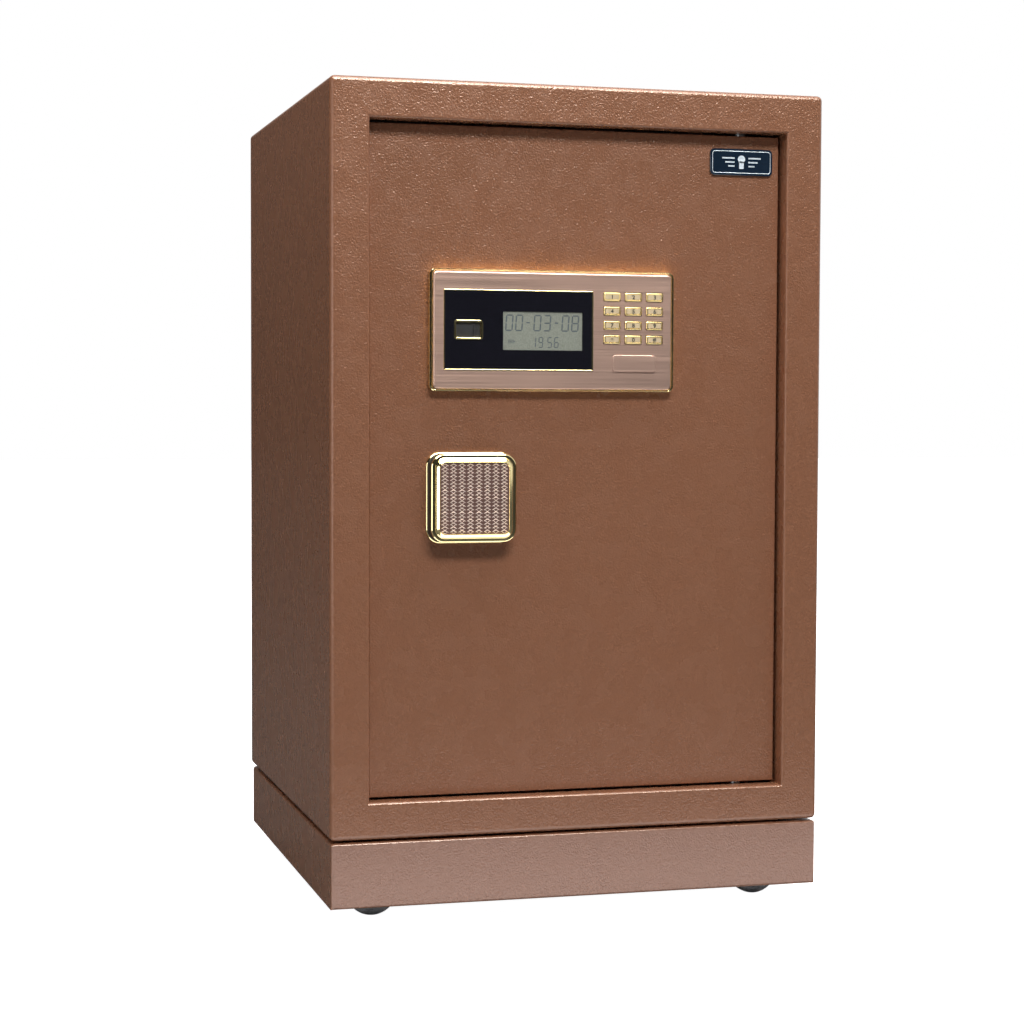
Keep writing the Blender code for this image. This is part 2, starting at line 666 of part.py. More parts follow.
def make_bolt_carrier(door):
    """Vertical bar with three round bolts. Its arm takes the disc's carrier pin in a slot."""
    carriage = pivot("bolt_carriage", (CARRIER_LEFT, BOLT_Y, KNOB_Z), door)
    low_bolt, _, high_bolt = bolt_heights()
    margin = 0.010
    bar = block("bolt_carrier", (CARRIER_LEFT, CARRIER_LAYER[0], low_bolt - margin),
                (CARRIER_RIGHT, CARRIER_LAYER[1], high_bolt + margin), STEEL,
                origin=(CARRIER_LEFT, BOLT_Y, KNOB_Z), parent=carriage)
    pin_x, pin_z, _ = crank_pins()["carrier"]
    slot = CRANK_PIN_RADIUS + 0.0009
    highest = KNOB_Z + CRANK_REACH + CRANK_PIN_RADIUS
    join_box(bar, (CARRIER_LEFT + 0.002, CARRIER_LAYER[0], KNOB_Z + 0.005),
             (pin_x + slot + 0.004, CARRIER_LAYER[1], highest + 0.0045))
    cut_boxes(bar, [((pin_x - slot, CARRIER_LAYER[0] - 0.01, pin_z - CRANK_PIN_RADIUS - 0.0005),
                     (pin_x + slot, CARRIER_LAYER[1] + 0.01, highest + 0.0005))])
    for name, z in zip(("bolt_lower", "bolt_middle", "bolt_upper"), bolt_heights()):
        place = (CARRIER_LEFT - GAP, BOLT_Y, z)
        rod(name, (BOX_LEFT - GAP, BOLT_Y, z), place, BOLT_RADIUS, STEEL, 24,
            origin=place, parent=carriage)


def make_rod_bolt(name, door, side, pin, box_end):
    """A flat rod with a slotted foot on the disc and a round tip at the box's edge."""
    pin_x, pin_z, _ = pin
    rod_x = KNOB_X + side * ROD_OFFSET
    half_bar = 0.005
    slot = CRANK_PIN_RADIUS + 0.0009
    foot = slot + 0.0035
    bar_end = box_end - side * 0.030
    zs = sorted((pin_z - side * foot, bar_end))
    bolt = block(name, (rod_x - half_bar, ROD_LAYER[0], zs[0]), (rod_x + half_bar, ROD_LAYER[1], zs[1]),
                 STEEL, origin=(rod_x, ROD_TIP_Y, box_end), parent=door)
    xs = sorted((KNOB_X + side * 0.006, rod_x + side * half_bar))
    join_box(bolt, (xs[0], ROD_LAYER[0], pin_z - foot), (xs[1], ROD_LAYER[1], pin_z + foot))
    slot_ends = sorted((pin_x - side * (CRANK_PIN_RADIUS + 0.0005),
                        KNOB_X + side * (CRANK_REACH + CRANK_PIN_RADIUS + 0.0005)))
    cut_boxes(bolt, [((slot_ends[0], ROD_LAYER[0] - 0.01, pin_z - slot),
                      (slot_ends[1], ROD_LAYER[1] + 0.01, pin_z + slot))])
    join_rod(bolt, (rod_x, ROD_TIP_Y, box_end - side * 0.042),
             (rod_x, ROD_TIP_Y, box_end + side * GAP), ROD_TIP_RADIUS)


def make_solenoid(door):
    """Coil on the back of the plate. Its plunger blocks the carrier's way back when it is thrown."""
    x = CARRIER_LEFT - 0.0045
    z = OPEN_MIDDLE + 0.075
    front = PLATE_BACK + GAP
    back = FRONT + 0.033
    low, high = around(x, z, 0.020, 0.030, front, back)
    coil = block("solenoid", low, high, BLACK, edge=0.002, segments=2, along=1, parent=door)
    radius = 0.003
    cut_rods(coil, [((x, front + 0.003, z), (x, back + 0.01, z), radius + GAP)])
    place = (x, back, z)
    rod("solenoid_plunger", (x, front + 0.005, z), (x, CARRIER_LAYER[0] - 0.002, z), radius, STEEL, 16,
        origin=place, parent=door)


def make_lock(door):
    """Emergency key lock behind the sliding cover: a barrel through the plate, and its core."""
    front = BEZEL_FRONT + BEZEL_PLATE + GAP
    back = FRONT + 0.032
    barrel = rod("lock_cylinder", (KEYHOLE_X, front, COVER_Z), (KEYHOLE_X, back, COVER_Z),
                 LOCK_RADIUS, BRASS, 24, parent=door)
    cut_rods(barrel, [((KEYHOLE_X, front - 0.01, COVER_Z), (KEYHOLE_X, back + 0.01, COVER_Z),
                       CORE_RADIUS + GAP)], 24)
    place = (KEYHOLE_X, front, COVER_Z)
    core = rod("lock_core", (KEYHOLE_X, BEZEL_FRONT + 0.0005, COVER_Z),
               (KEYHOLE_X, back + 0.003, COVER_Z), CORE_RADIUS, BRASS, 24, origin=place, parent=door)
    join_box(core, (KEYHOLE_X - 0.0045, back + 0.0005, COVER_Z - 0.0045),
             (KEYHOLE_X + 0.018, back + 0.0025, COVER_Z + 0.0045))
    cut_boxes(core, [((KEYHOLE_X - 0.0005, BEZEL_FRONT - 0.01, COVER_Z - 0.003),
                      (KEYHOLE_X + 0.0005, BEZEL_FRONT + 0.012, COVER_Z + 0.003))])


def make_panel(door):
    """Gold tray, rose bezel, dark window, display, fingerprint reader and circuit board."""
    low, high = around(PANEL_X, PANEL_Z, PANEL_WIDTH, PANEL_HEIGHT, PANEL_FRONT, PLATE_FRONT - GAP)
    base = block("keypad_base", low, high, GOLD, edge=0.0045, segments=3, along=1, parent=door)
    pocket_floor = high[1] - 0.001
    low, high = around(PANEL_X, PANEL_Z, BEZEL_WIDTH + 2 * GAP, BEZEL_HEIGHT + 2 * GAP,
                       PANEL_FRONT - 0.01, pocket_floor)
    cut_boxes(base, [(low, high)], edge=0.0035, segments=3, along=1)
    cut_rods(base, [((KEYHOLE_X, pocket_floor - 0.01, COVER_Z), (KEYHOLE_X, pocket_floor + 0.01, COVER_Z),
                     LOCK_RADIUS + GAP),
                    ((0.0, pocket_floor - 0.01, PANEL_Z - 0.03), (0.0, pocket_floor + 0.01, PANEL_Z - 0.03),
                     0.006)])
    low, high = around(PANEL_X, PANEL_Z, BEZEL_WIDTH, BEZEL_HEIGHT, BEZEL_FRONT, pocket_floor - GAP)
    bezel = block("keypad_bezel", low, high, ROSE, edge=0.0032, segments=3, along=1, parent=door)
    wall = 0.0015
    low, high = around(PANEL_X, PANEL_Z, BEZEL_WIDTH - 2 * wall, BEZEL_HEIGHT - 2 * wall,
                       BEZEL_FRONT + BEZEL_PLATE, pocket_floor + 0.01)
    cut_boxes(bezel, [(low, high)])
    through = (BEZEL_FRONT - 0.01, BEZEL_FRONT + BEZEL_PLATE + 0.001)
    holes = [around(WINDOW_X, WINDOW_Z, WINDOW_WIDTH, WINDOW_HEIGHT, *through)]
    holes += [around(x, z, KEY_WIDTH + 2 * GAP, KEY_HEIGHT + 2 * GAP, *through)
              for _, x, z in key_places()]
    cut_boxes(bezel, holes)
    cut_rods(bezel, [((KEYHOLE_X, through[0], COVER_Z), (KEYHOLE_X, through[1], COVER_Z),
                      CORE_RADIUS + GAP)])
    make_window(door, pocket_floor)


def make_window(door, pocket_floor):
    low, high = around(WINDOW_X, WINDOW_Z, WINDOW_WIDTH - 2 * GAP, WINDOW_HEIGHT - 2 * GAP,
                       BEZEL_FRONT, BEZEL_FRONT + 0.0018)
    window = block("display_window", low, high, BLACK_GLOSS, parent=door)
    low, high = around(FINGER_X, FINGER_Z, FINGER_WIDTH + 2 * GAP, FINGER_HEIGHT + 2 * GAP,
                       BEZEL_FRONT - 0.01, BEZEL_FRONT + 0.01)
    cut_boxes(window, [(low, high)], edge=0.0015, segments=2, along=1)
    low, high = around(LCD_X, LCD_Z, LCD_WIDTH + 0.003, LCD_HEIGHT + 0.003,
                       BEZEL_FRONT + 0.0018 + GAP, pocket_floor - 0.0011)
    block("lcd_module", low, high, LCD_GREY, parent=door)
    rim = 0.0014
    low, high = around(FINGER_X, FINGER_Z, FINGER_WIDTH, FINGER_HEIGHT,
                       BEZEL_FRONT - 0.0005, BEZEL_FRONT + 0.002)
    ring = block("fingerprint_bezel", low, high, GOLD, edge=0.0015, segments=3, along=1, parent=door)
    low, high = around(FINGER_X, FINGER_Z, FINGER_WIDTH - 2 * rim, FINGER_HEIGHT - 2 * rim,
                       BEZEL_FRONT - 0.01, BEZEL_FRONT + 0.01)
    cut_boxes(ring, [(low, high)])
    low, high = around(FINGER_X, FINGER_Z, FINGER_WIDTH - 2 * rim - 2 * GAP,
                       FINGER_HEIGHT - 2 * rim - 2 * GAP, BEZEL_FRONT + 0.0012, pocket_floor - 0.0011)
    block("fingerprint_sensor", low, high, BLACK, parent=door)
    low, high = around(KEY_FIRST_X + KEY_PITCH_X, KEY_FIRST_Z - 1.5 * KEY_PITCH_Z, 0.052, 0.042,
                       pocket_floor - 0.0013, pocket_floor - GAP)
    block("control_board", low, high, GREEN, parent=door)


def key_places():
    """Name and centre of each of the twelve keys, row by row."""
    for index, name in enumerate(KEY_NAMES):
        row, column = divmod(index, 3)
        yield f"key_{name}", KEY_FIRST_X + column * KEY_PITCH_X, KEY_FIRST_Z - row * KEY_PITCH_Z


def make_keys(door):
    """Keycaps with a flange behind the bezel that keeps each from falling out."""
    for name, x, z in key_places():
        flange_front = BEZEL_FRONT + BEZEL_PLATE + GAP
        place = (x, flange_front, z)
        low, high = around(x, z, KEY_WIDTH, KEY_HEIGHT, BEZEL_FRONT - KEY_PROUD, flange_front + 0.0005)
        key = block(name, low, high, GOLD, edge=0.0006, segments=2, origin=place, parent=door)
        low, high = around(x, z, KEY_WIDTH + 0.0014, KEY_HEIGHT + 0.0014,
                           flange_front, flange_front + 0.0008)
        join_box(key, low, high)


def make_keyhole_cover(door):
    back = BEZEL_FRONT - GAP
    low, high = around(COVER_X, COVER_Z, COVER_WIDTH, COVER_HEIGHT, back - 0.0008, back)
    block("keyhole_cover", low, high, ROSE, edge=0.0020, segments=3, along=1,
          origin=(COVER_X, back, COVER_Z), parent=door)


def make_nameplate(door):
    low, high = around(BADGE_X, BADGE_Z, BADGE_WIDTH, BADGE_HEIGHT,
                       PLATE_FRONT - 0.0019, PLATE_FRONT - GAP)
    block("nameplate", low, high, BADGE_BLUE, edge=0.0028, segments=3, along=1, parent=door)


def make_door():
    door = pivot("door_pivot", (PIVOT_X, PIVOT_Y, OPEN_MIDDLE))
    make_door_plate(door)
    make_door_box(door)
    make_handle(door)
    make_bolt_carrier(door)
    pins = crank_pins()
    make_rod_bolt("bolt_top", door, 1, pins["top"], BOX_TOP)
    make_rod_bolt("bolt_bottom", door, -1, pins["bottom"], BOX_BOTTOM)
    make_solenoid(door)
    make_lock(door)
    make_panel(door)
    make_keys(door)
    make_keyhole_cover(door)
    make_nameplate(door)


def main():
    clear_scene()
    make_outer_shell()
    make_rear_panel()
    make_inner_liner()
    make_door_stop()
    make_hinge_pins()
    make_shelf()
    make_plinth()
    for name, place, side in castor_places():
        make_castor(name, place, side)
    make_door()


main()
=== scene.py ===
"""Looks of the floor-standing deposit safe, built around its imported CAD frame.

Metres, in the frame's own axes: +Z up, the front faces -Y, +X to the right.
"""

import json
import math

import bmesh
import bpy
from mathutils import Matrix, Vector

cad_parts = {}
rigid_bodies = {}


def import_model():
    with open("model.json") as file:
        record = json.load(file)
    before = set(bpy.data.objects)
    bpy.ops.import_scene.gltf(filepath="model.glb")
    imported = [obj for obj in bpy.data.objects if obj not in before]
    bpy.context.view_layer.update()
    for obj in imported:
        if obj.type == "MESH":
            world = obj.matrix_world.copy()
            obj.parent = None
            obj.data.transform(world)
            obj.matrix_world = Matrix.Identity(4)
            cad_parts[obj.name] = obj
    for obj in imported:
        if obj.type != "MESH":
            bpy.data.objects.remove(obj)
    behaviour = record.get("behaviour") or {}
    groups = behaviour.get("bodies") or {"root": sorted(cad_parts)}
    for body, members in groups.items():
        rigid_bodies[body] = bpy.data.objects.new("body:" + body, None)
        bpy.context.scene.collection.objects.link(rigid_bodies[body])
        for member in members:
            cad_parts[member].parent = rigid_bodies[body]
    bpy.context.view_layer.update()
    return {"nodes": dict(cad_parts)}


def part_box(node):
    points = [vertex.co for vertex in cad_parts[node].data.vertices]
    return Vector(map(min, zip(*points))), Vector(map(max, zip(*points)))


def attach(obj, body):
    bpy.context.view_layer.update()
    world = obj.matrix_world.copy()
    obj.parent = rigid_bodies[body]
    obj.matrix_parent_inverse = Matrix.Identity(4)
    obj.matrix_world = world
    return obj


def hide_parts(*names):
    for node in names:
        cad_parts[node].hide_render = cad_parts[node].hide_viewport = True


for startup_object in list(bpy.data.objects):
    bpy.data.objects.remove(startup_object, do_unlink=True)

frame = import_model()

SMOOTH_ANGLE = 35.0      # degrees; a fold sharper than this stays a crisp edge
PRINT_DEPTH = 0.0001     # thickness of printed marks
LCD_WIDTH = 0.0609
LCD_HEIGHT = 0.0282
KEYS = [f"key_{name}" for name in (*"123456789", "star", "0", "hash")]
SCREW_RADIUS = 0.0032
SCREW_HEIGHT = 0.0018


# ---- places read from the frame

def centre(node):
    low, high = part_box(node)
    return (low + high) / 2


def extent(node):
    low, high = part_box(node)
    return high - low


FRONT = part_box("outer_shell")[0].y
BODY_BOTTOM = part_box("outer_shell")[0].z
BEZEL_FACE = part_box("keypad_bezel")[0].y


def put(name, data):
    """A new object in the scene."""
    thing = bpy.data.objects.new(name, data)
    bpy.context.scene.collection.objects.link(thing)
    return thing


# ---- node tools

class Nodes:
    """Short ways to add nodes to a material or to the world."""

    def __init__(self, owner, shader="Principled BSDF"):
        self.tree = owner.node_tree
        self.shader = self.tree.nodes[shader]

    def give(self, socket, value):
        """Sets a socket to a value, or links it to another socket."""
        if isinstance(value, bpy.types.NodeSocket):
            self.tree.links.new(value, socket)
        else:
            socket.default_value = value

    def add(self, kind, output, inputs, **settings):
        """Adds a node with these settings and inputs, and returns its output."""
        node = self.tree.nodes.new(f"ShaderNode{kind}")
        for name, value in settings.items():
            setattr(node, name, value)
        for name, value in inputs.items():
            self.give(node.inputs[name], value)
        return node.outputs[output]

    def place(self):
        return self.add("TexCoord", "Object", {})

    def stretched(self, scale):
        return self.add("Mapping", "Vector", {"Vector": self.place(), "Scale": scale})

    def noise(self, scale, detail=2.0, roughness=0.5, place=None):
        return self.add("TexNoise", "Fac", {"Vector": place or self.place(), "Scale": scale,
            "Detail": detail, "Roughness": roughness})

    def cells(self, scale, smoothness):
        return self.add("TexVoronoi", "Distance", {"Vector": self.place(), "Scale": scale,
            "Smoothness": smoothness}, feature="SMOOTH_F1")

    def spread(self, value, low, high, from_low=0.0, from_high=1.0):
        return self.add("MapRange", "Result", {"Value": value, "From Min": from_low,
            "From Max": from_high, "To Min": low, "To Max": high})

    def maths(self, operation, *values):
        return self.add("Math", "Value", dict(enumerate(values)), operation=operation)

    def weighed(self, first, share, second, other_share):
        """Two values, each times its share, added up."""
        return self.maths("ADD", self.maths("MULTIPLY", first, share),
                          self.maths("MULTIPLY", second, other_share))

    def ramp(self, value, stops):
        output = self.add("ValToRGB", "Color", {"Fac": value})
        elements = output.node.color_ramp.elements
        while len(elements) < len(stops):
            elements.new(0.5)
        for element, (position, colour) in zip(elements, stops):
            element.position = position
            element.color = (*colour, 1.0)
        return output

    def mixed(self, share, first, second, blend_type="MIX"):
        return self.add("Mix", "Result", {"Factor": share, "A": first, "B": second},
                        data_type="RGBA", blend_type=blend_type)

    def facing_forwards(self):
        """1 on the faces that look forwards, 0 on the others."""
        normal = self.add("TexCoord", "Normal", {})
        split = self.add("SeparateXYZ", "Y", {"Vector": normal})
        return self.spread(split, 1.0, 0.0, -1.0, -0.7)

    def toned(self, value, colour, low, high, start, end):
        """A darker to a lighter shade of a colour, as a value rises from start to end."""
        dark, light = (tuple(c * share for c in colour) for share in (low, high))
        return self.ramp(value, [(start, dark), (end, light)])

    def shape(self, **inputs):
        """Gives the shader's sockets values or links."""
        for name, value in inputs.items():
            self.give(self.shader.inputs[name.replace("_", " ")], value)

    def bump(self, height, strength, distance):
        self.shape(Normal=self.add("Bump", "Normal", {"Height": height, "Strength": strength,
            "Distance": distance}))


def grey(value):
    return (value, value, value)


def new_material(name, colour, roughness, metallic=0.0, **more):
    material = bpy.data.materials.new(name)
    material.use_nodes = True
    nodes = Nodes(material)
    nodes.shape(Base_Color=(*colour, 1.0), Roughness=roughness, Metallic=metallic, **more)
    return material, nodes


# ---- camera, light and floor

def make_camera():
    """A long lens left of the safe, a little above its middle and looking slightly down."""
    pitch = -0.0469
    roll = 0.0036
    yaw = 0.2707
    place = Vector((-0.4890, FRONT - 1.5669, BODY_BOTTOM + 0.3150))
    forward = Vector((math.sin(yaw) * math.cos(pitch), math.cos(yaw) * math.cos(pitch),
        math.sin(pitch)))
    level = Vector((math.cos(yaw), -math.sin(yaw), 0.0))
    upright = level.cross(forward)
    right = level * math.cos(roll) + upright * math.sin(roll)
    up = upright * math.cos(roll) - level * math.sin(roll)
    data = bpy.data.cameras.new("camera")
    data.lens = 77.746
    data.sensor_width = 36.0
    data.clip_start = 0.05
    camera = put("camera", data)
    turn = Matrix((right, up, -forward)).transposed().to_4x4()
    camera.matrix_world = Matrix.Translation(place) @ turn
    bpy.context.scene.camera = camera


def area_light(name, place, aim, width, height, power, lights_matt=True, reflected=True,
               colour=(1.0, 1.0, 1.0)):
    """A soft box. It can show only in glossy surfaces, or never show in them."""
    data = bpy.data.lights.new(name, "AREA")
    data.shape = "RECTANGLE"
    data.size = width
    data.size_y = height
    data.energy = power
    data.color = colour
    lamp = put(name, data)
    lamp.location = place
    lamp.rotation_euler = (Vector(aim) - Vector(place)).to_track_quat("-Z", "Y").to_euler()
    lamp.visible_camera = False
    lamp.visible_diffuse = lights_matt
    lamp.visible_glossy = reflected


def make_lights():
    target = (0.0, -0.1, 0.34)
    area_light("key_softbox", (0.05, -1.75, 2.05), target, 1.3, 0.45, 41)
    area_light("top_softbox", (-0.05, -0.30, 2.1), (0.0, -0.1, 0.3), 1.6, 0.6, 20)
    area_light("overhead_glow", (-0.1, -1.15, 1.75), (0.0, FRONT, 0.5), 1.9, 0.9, 112,
               lights_matt=False, colour=(1.0, 0.99, 0.87))
    area_light("left_strip", (-1.6, -1.05, 0.33), target, 0.8, 1.1, 8.5, lights_matt=False)
    area_light("floor_glow", (0.0, -0.30, 0.004), (0.0, -0.30, 1.0), 0.75, 0.20, 1.1,
               lights_matt=False)
    area_light("left_fill", (-0.95, -0.15, 1.45), (-0.19, 0.0, 0.5), 0.6, 0.6, 5.5, reflected=False)
    area_light("left_wall", (-1.9, -0.25, 0.7), target, 1.0, 1.0, 4.2, reflected=False)
    area_light("back_fill", (1.2, 2.2, 1.6), target, 1.6, 1.4, 10)


def make_world():
    """A pale studio: bright above, behind and to the right, dimmer to the left and in front."""
    world = bpy.data.worlds.new("studio")
    bpy.context.scene.world = world
    world.use_nodes = True
    nodes = Nodes(world, "Background")
    direction = nodes.add("TexCoord", "Generated", {})

    def lobe(axis, stops):
        """Brightness from the cosine of the angle to an axis."""
        cosine = nodes.add("VectorMath", "Value", {0: direction, 1: Vector(axis).normalized()},
                            operation="DOT_PRODUCT")
        return nodes.ramp(nodes.spread(cosine, 0.0, 1.0, -1.0, 1.0),
                           [((at + 1.0) / 2.0, grey(value)) for at, value in stops])

    sides = lobe((1.0, 0.0, 0.35), [(-1.0, 0.01), (-0.10, 0.02), (0.30, 0.70), (0.8, 0.95)])
    ahead = lobe((0.22, -0.975, 0.0), [(-1.0, 1.0), (0.40, 1.0), (0.62, 0.35), (0.80, 0.07)])
    seen = nodes.add("LightPath", "Is Camera Ray", {})
    product = nodes.mixed(1.0, sides, ahead, "MULTIPLY")
    nodes.shape(Color=nodes.mixed(seen, product, (1.0, 1.0, 1.0, 1.0)), Strength=1.0)


def make_floor():
    """A pale floor, bright enough to run into the white behind it, and dim in reflections."""
    bm = bmesh.new()
    bmesh.ops.create_grid(bm, x_segments=2, y_segments=2, size=14.0)
    mesh = bpy.data.meshes.new("floor")
    bm.to_mesh(mesh)
    bm.free()
    floor = put("floor", mesh)
    pale = grey(0.93)
    material, nodes = new_material("pale_floor", pale, 0.7, Emission_Color=(*grey(1.0), 1.0))
    seen = nodes.add("LightPath", "Is Camera Ray", {})
    bounced = nodes.add("LightPath", "Is Diffuse Ray", {})
    in_reflections = 0.06
    for_other_light = 0.34
    dim = nodes.spread(bounced, in_reflections, for_other_light)
    nodes.shape(Emission_Strength=seen, Base_Color=nodes.mixed(seen, dim, (*pale, 1.0)))
    floor.data.materials.append(material)


# ---- materials

def hammered_paint(name, colour, front=None):
    """Bronze powder coat with a fine pebbled surface that catches the light above. A front colour,
    where given, is a painted reflection of the floor on the faces that look forwards.
    """
    material, nodes = new_material(name, colour, 0.26, 0.05, Specular_IOR_Level=0.5)
    peel = nodes.noise(680.0, 1.0, 0.4)
    pebbles = nodes.cells(920.0, 1.0)
    height = nodes.maths("ADD", peel, nodes.maths("MULTIPLY", pebbles, 0.8))
    paint = nodes.toned(peel, colour, 0.96, 1.04, 0.36, 0.64)
    facing = nodes.facing_forwards()
    # A front colour lightens the faces that look forwards: a painted reflection of the floor.
    if front:
        paint = nodes.mixed(facing, paint, (*front, 1.0))
    nodes.shape(Base_Color=paint,
                Roughness=nodes.spread(nodes.noise(60.0, 3.0), 0.23, 0.31, 0.3, 0.7))
    nodes.bump(height, nodes.spread(facing, 0.03, 0.85), 0.00031)
    return material


def polished_metal(name, colour, roughness=0.08):
    """Plated metal with faint polishing marks and handling haze."""
    material, nodes = new_material(name, colour, roughness, 1.0)
    haze = nodes.noise(38.0, 4.0, 0.6)
    nodes.shape(Base_Color=nodes.toned(haze, colour, 0.94, 1.04, 0.3, 0.7),
                Roughness=nodes.spread(haze, roughness * 0.6, roughness * 1.9, 0.3, 0.75))
    nodes.bump(nodes.noise(900.0), 0.03, 0.0001)
    return material


def satin_metal(name, colour, roughness=0.34, metallic=0.65, along=(6.0, 6.0, 900.0)):
    """Anodised metal brushed along one direction."""
    material, nodes = new_material(name, colour, roughness, metallic)
    lines = nodes.noise(1.0, 3.0, 0.6, nodes.stretched(along))
    tone = nodes.weighed(lines, 0.5, nodes.noise(9.0), 0.5)
    nodes.shape(Base_Color=nodes.toned(tone, colour, 0.90, 1.10, 0.35, 0.65),
                Roughness=nodes.spread(lines, roughness * 0.85, roughness * 1.2, 0.3, 0.7))
    nodes.bump(lines, 0.05, 0.00005)
    return material


def zinc_plate(name, colour):
    """Zinc-plated steel with its patchy, slightly brushed sheen."""
    material, nodes = new_material(name, colour, 0.34, 1.0)
    lines = nodes.noise(1.0, 3.0, 0.6, nodes.stretched((30.0, 700.0, 30.0)))
    tone = nodes.weighed(nodes.cells(55.0, 0.2), 0.5, lines, 0.5)
    nodes.shape(Base_Color=nodes.toned(tone, colour, 0.80, 1.15, 0.2, 0.7),
                Roughness=nodes.spread(tone, 0.26, 0.46, 0.2, 0.7))
    nodes.bump(lines, 0.06, 0.0001)
    return material


def moulded_plastic(name, colour, roughness=0.45, grain=900.0):
    """Moulded plastic with a fine spark-eroded grain."""
    material, nodes = new_material(name, colour, roughness)
    texture = nodes.noise(grain)
    nodes.shape(Base_Color=nodes.toned(texture, colour, 0.85, 1.15, 0.35, 0.65),
                Roughness=nodes.spread(texture, roughness * 0.85, roughness * 1.15, 0.3, 0.7))
    nodes.bump(texture, 0.08, 0.0001)
    return material


def flocked(name, colour):
    """Short flocked lining: soft, with a fine nap and worn cloudy patches."""
    material, nodes = new_material(name, colour, 0.95, Sheen_Weight=0.35, Sheen_Roughness=0.5)
    nap = nodes.noise(1500.0, 3.0, 0.7)
    tone = nodes.weighed(nap, 0.6, nodes.noise(14.0, 3.0), 0.4)
    nodes.shape(Base_Color=nodes.toned(tone, colour, 0.65, 1.35, 0.3, 0.7))
    nodes.bump(nap, 0.5, 0.0004)
    return material


def gloss(name, colour, roughness=0.06):
    """Hard glossy plastic or enamel with a little dust and wiping haze."""
    material, nodes = new_material(name, colour, roughness, Coat_Weight=0.3, Coat_Roughness=0.04)
    haze = nodes.noise(24.0, 4.0, 0.65)
    nodes.shape(Base_Color=nodes.toned(haze, colour, 0.9, 1.1, 0.3, 0.7),
                Roughness=nodes.spread(haze, roughness * 0.6, roughness * 2.2, 0.3, 0.75))
    return material


# Each finish is a material and the slot it stands for.
BRONZE_TONE = (0.264, 0.113, 0.060)
ACROSS = (900.0, 6.0, 6.0)      # brushing lines that run upwards
BRONZE = (hammered_paint("hammered_bronze_paint", BRONZE_TONE), "bronze_paint")
# The same bronze paint with its front faces lighter: a painted reflection of the floor.
BRONZE_WITH_PAINTED_FLOOR_REFLECTION = (hammered_paint("bronze_plinth_paint_with_painted_floor_reflection", BRONZE_TONE, (0.312, 0.168, 0.122)),
               "bronze_paint")
# Bronze paint darkened to near black: painted shade for the door stop deep in the rebate.
SHADE = (hammered_paint("bronze_painted_shade_in_the_rebate", (0.050, 0.022, 0.014)), "bronze_paint")
GOLD = (polished_metal("pale_gold_plate", (0.93, 0.79, 0.42)), "gold_chrome")
KEY_GOLD = (polished_metal("key_gold", (0.80, 0.64, 0.32), 0.26), "gold_chrome")
KEY_FACE = (satin_metal("key_face_gold", (0.60, 0.47, 0.30), 0.45, 0.2, ACROSS), "gold_chrome")
ROSE = (satin_metal("rose_bronze", (0.545, 0.362, 0.300)), "rose_bronze")
INLAY = (satin_metal("inlay_rose", (0.130, 0.066, 0.056), 0.42, 0.3), "rose_bronze")
# Rose bronze made pale cream for the inlay chains: partly their lighter tone, partly a painted
# highlight on the ridges.
CREAM_WITH_PAINTED_HIGHLIGHT = (satin_metal("inlay_cream_painted_highlight", (0.98, 0.84, 0.74), 0.26, 0.3), "rose_bronze")
STEEL = (zinc_plate("zinc_plated_steel", (0.60, 0.61, 0.62)), "zinc_steel")
BRASS = (satin_metal("turned_brass", (0.70, 0.50, 0.20), 0.25, 1.0, ACROSS), "lock_brass")
SILVER = (satin_metal("silver_plate", (0.74, 0.83, 0.92), 0.34, 0.3), "zinc_steel")
CELL_GOLD = (GOLD[0], "zinc_steel")
BLACK_GLASS = (gloss("black_window", (0.0075, 0.0075, 0.012)), "display_glass")
# The knob's gold side wall coloured near black: a painted dark reflection.
WAIST_PAINTED_DARK_REFLECTION = (moulded_plastic("knob_waist_painted_dark_reflection", (0.006, 0.006, 0.005), 0.6), "black_plastic")
NAVY = (gloss("navy_enamel", (0.008, 0.020, 0.040), 0.12), "badge_enamel")
LCD_FIELD = (moulded_plastic("lcd_field", (0.262, 0.278, 0.232), 0.35, 1500.0), "lcd_grey")
LCD_INK = (moulded_plastic("lcd_ink", (0.085, 0.105, 0.12), 0.4), "lcd_grey")
LCD_FAINT = (moulded_plastic("lcd_faint_ink", (0.235, 0.255, 0.205), 0.4), "lcd_grey")
DIGIT_INK = (moulded_plastic("key_digit_ink", (0.022, 0.016, 0.010), 0.6), "black_plastic")
DARK_PLASTIC = (moulded_plastic("dark_plastic", (0.028, 0.028, 0.030)), "black_plastic")
SENSOR = (gloss("sensor_window", (0.045, 0.045, 0.048), 0.16), "black_plastic")
RED = (moulded_plastic("red_plastic", (0.45, 0.03, 0.025), 0.35), "red_plastic")
TREAD = (moulded_plastic("wheel_tread", (0.55, 0.56, 0.61), 0.5, 500.0), "wheel_tread")
HUB = (moulded_plastic("wheel_hub", (0.22, 0.222, 0.235), 0.42, 700.0), "wheel_tread")
LINING = (flocked("flocked_lining", (0.150, 0.138, 0.130)), "grey_lining")
MAT = (flocked("floor_mat", (0.105, 0.096, 0.090)), "grey_lining")
BOARD = (moulded_plastic("circuit_board", (0.02, 0.12, 0.05), 0.4), "circuit_board")


# ---- mesh tools

def dress(piece, finish, body):
    """Gives a piece its material and the body it rides on."""
    material, slot = finish
    piece.data.materials.append(material)
    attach(piece, body)
    return piece


def new_piece(name, bm, finish, body, smooth=SMOOTH_ANGLE):
    bmesh.ops.recalc_face_normals(bm, faces=bm.faces)
    mesh = bpy.data.meshes.new(name)
    bm.to_mesh(mesh)
    bm.free()
    mesh.shade_smooth()
    mesh.set_sharp_from_angle(angle=math.radians(smooth))
    return dress(put(name, mesh), finish, body)


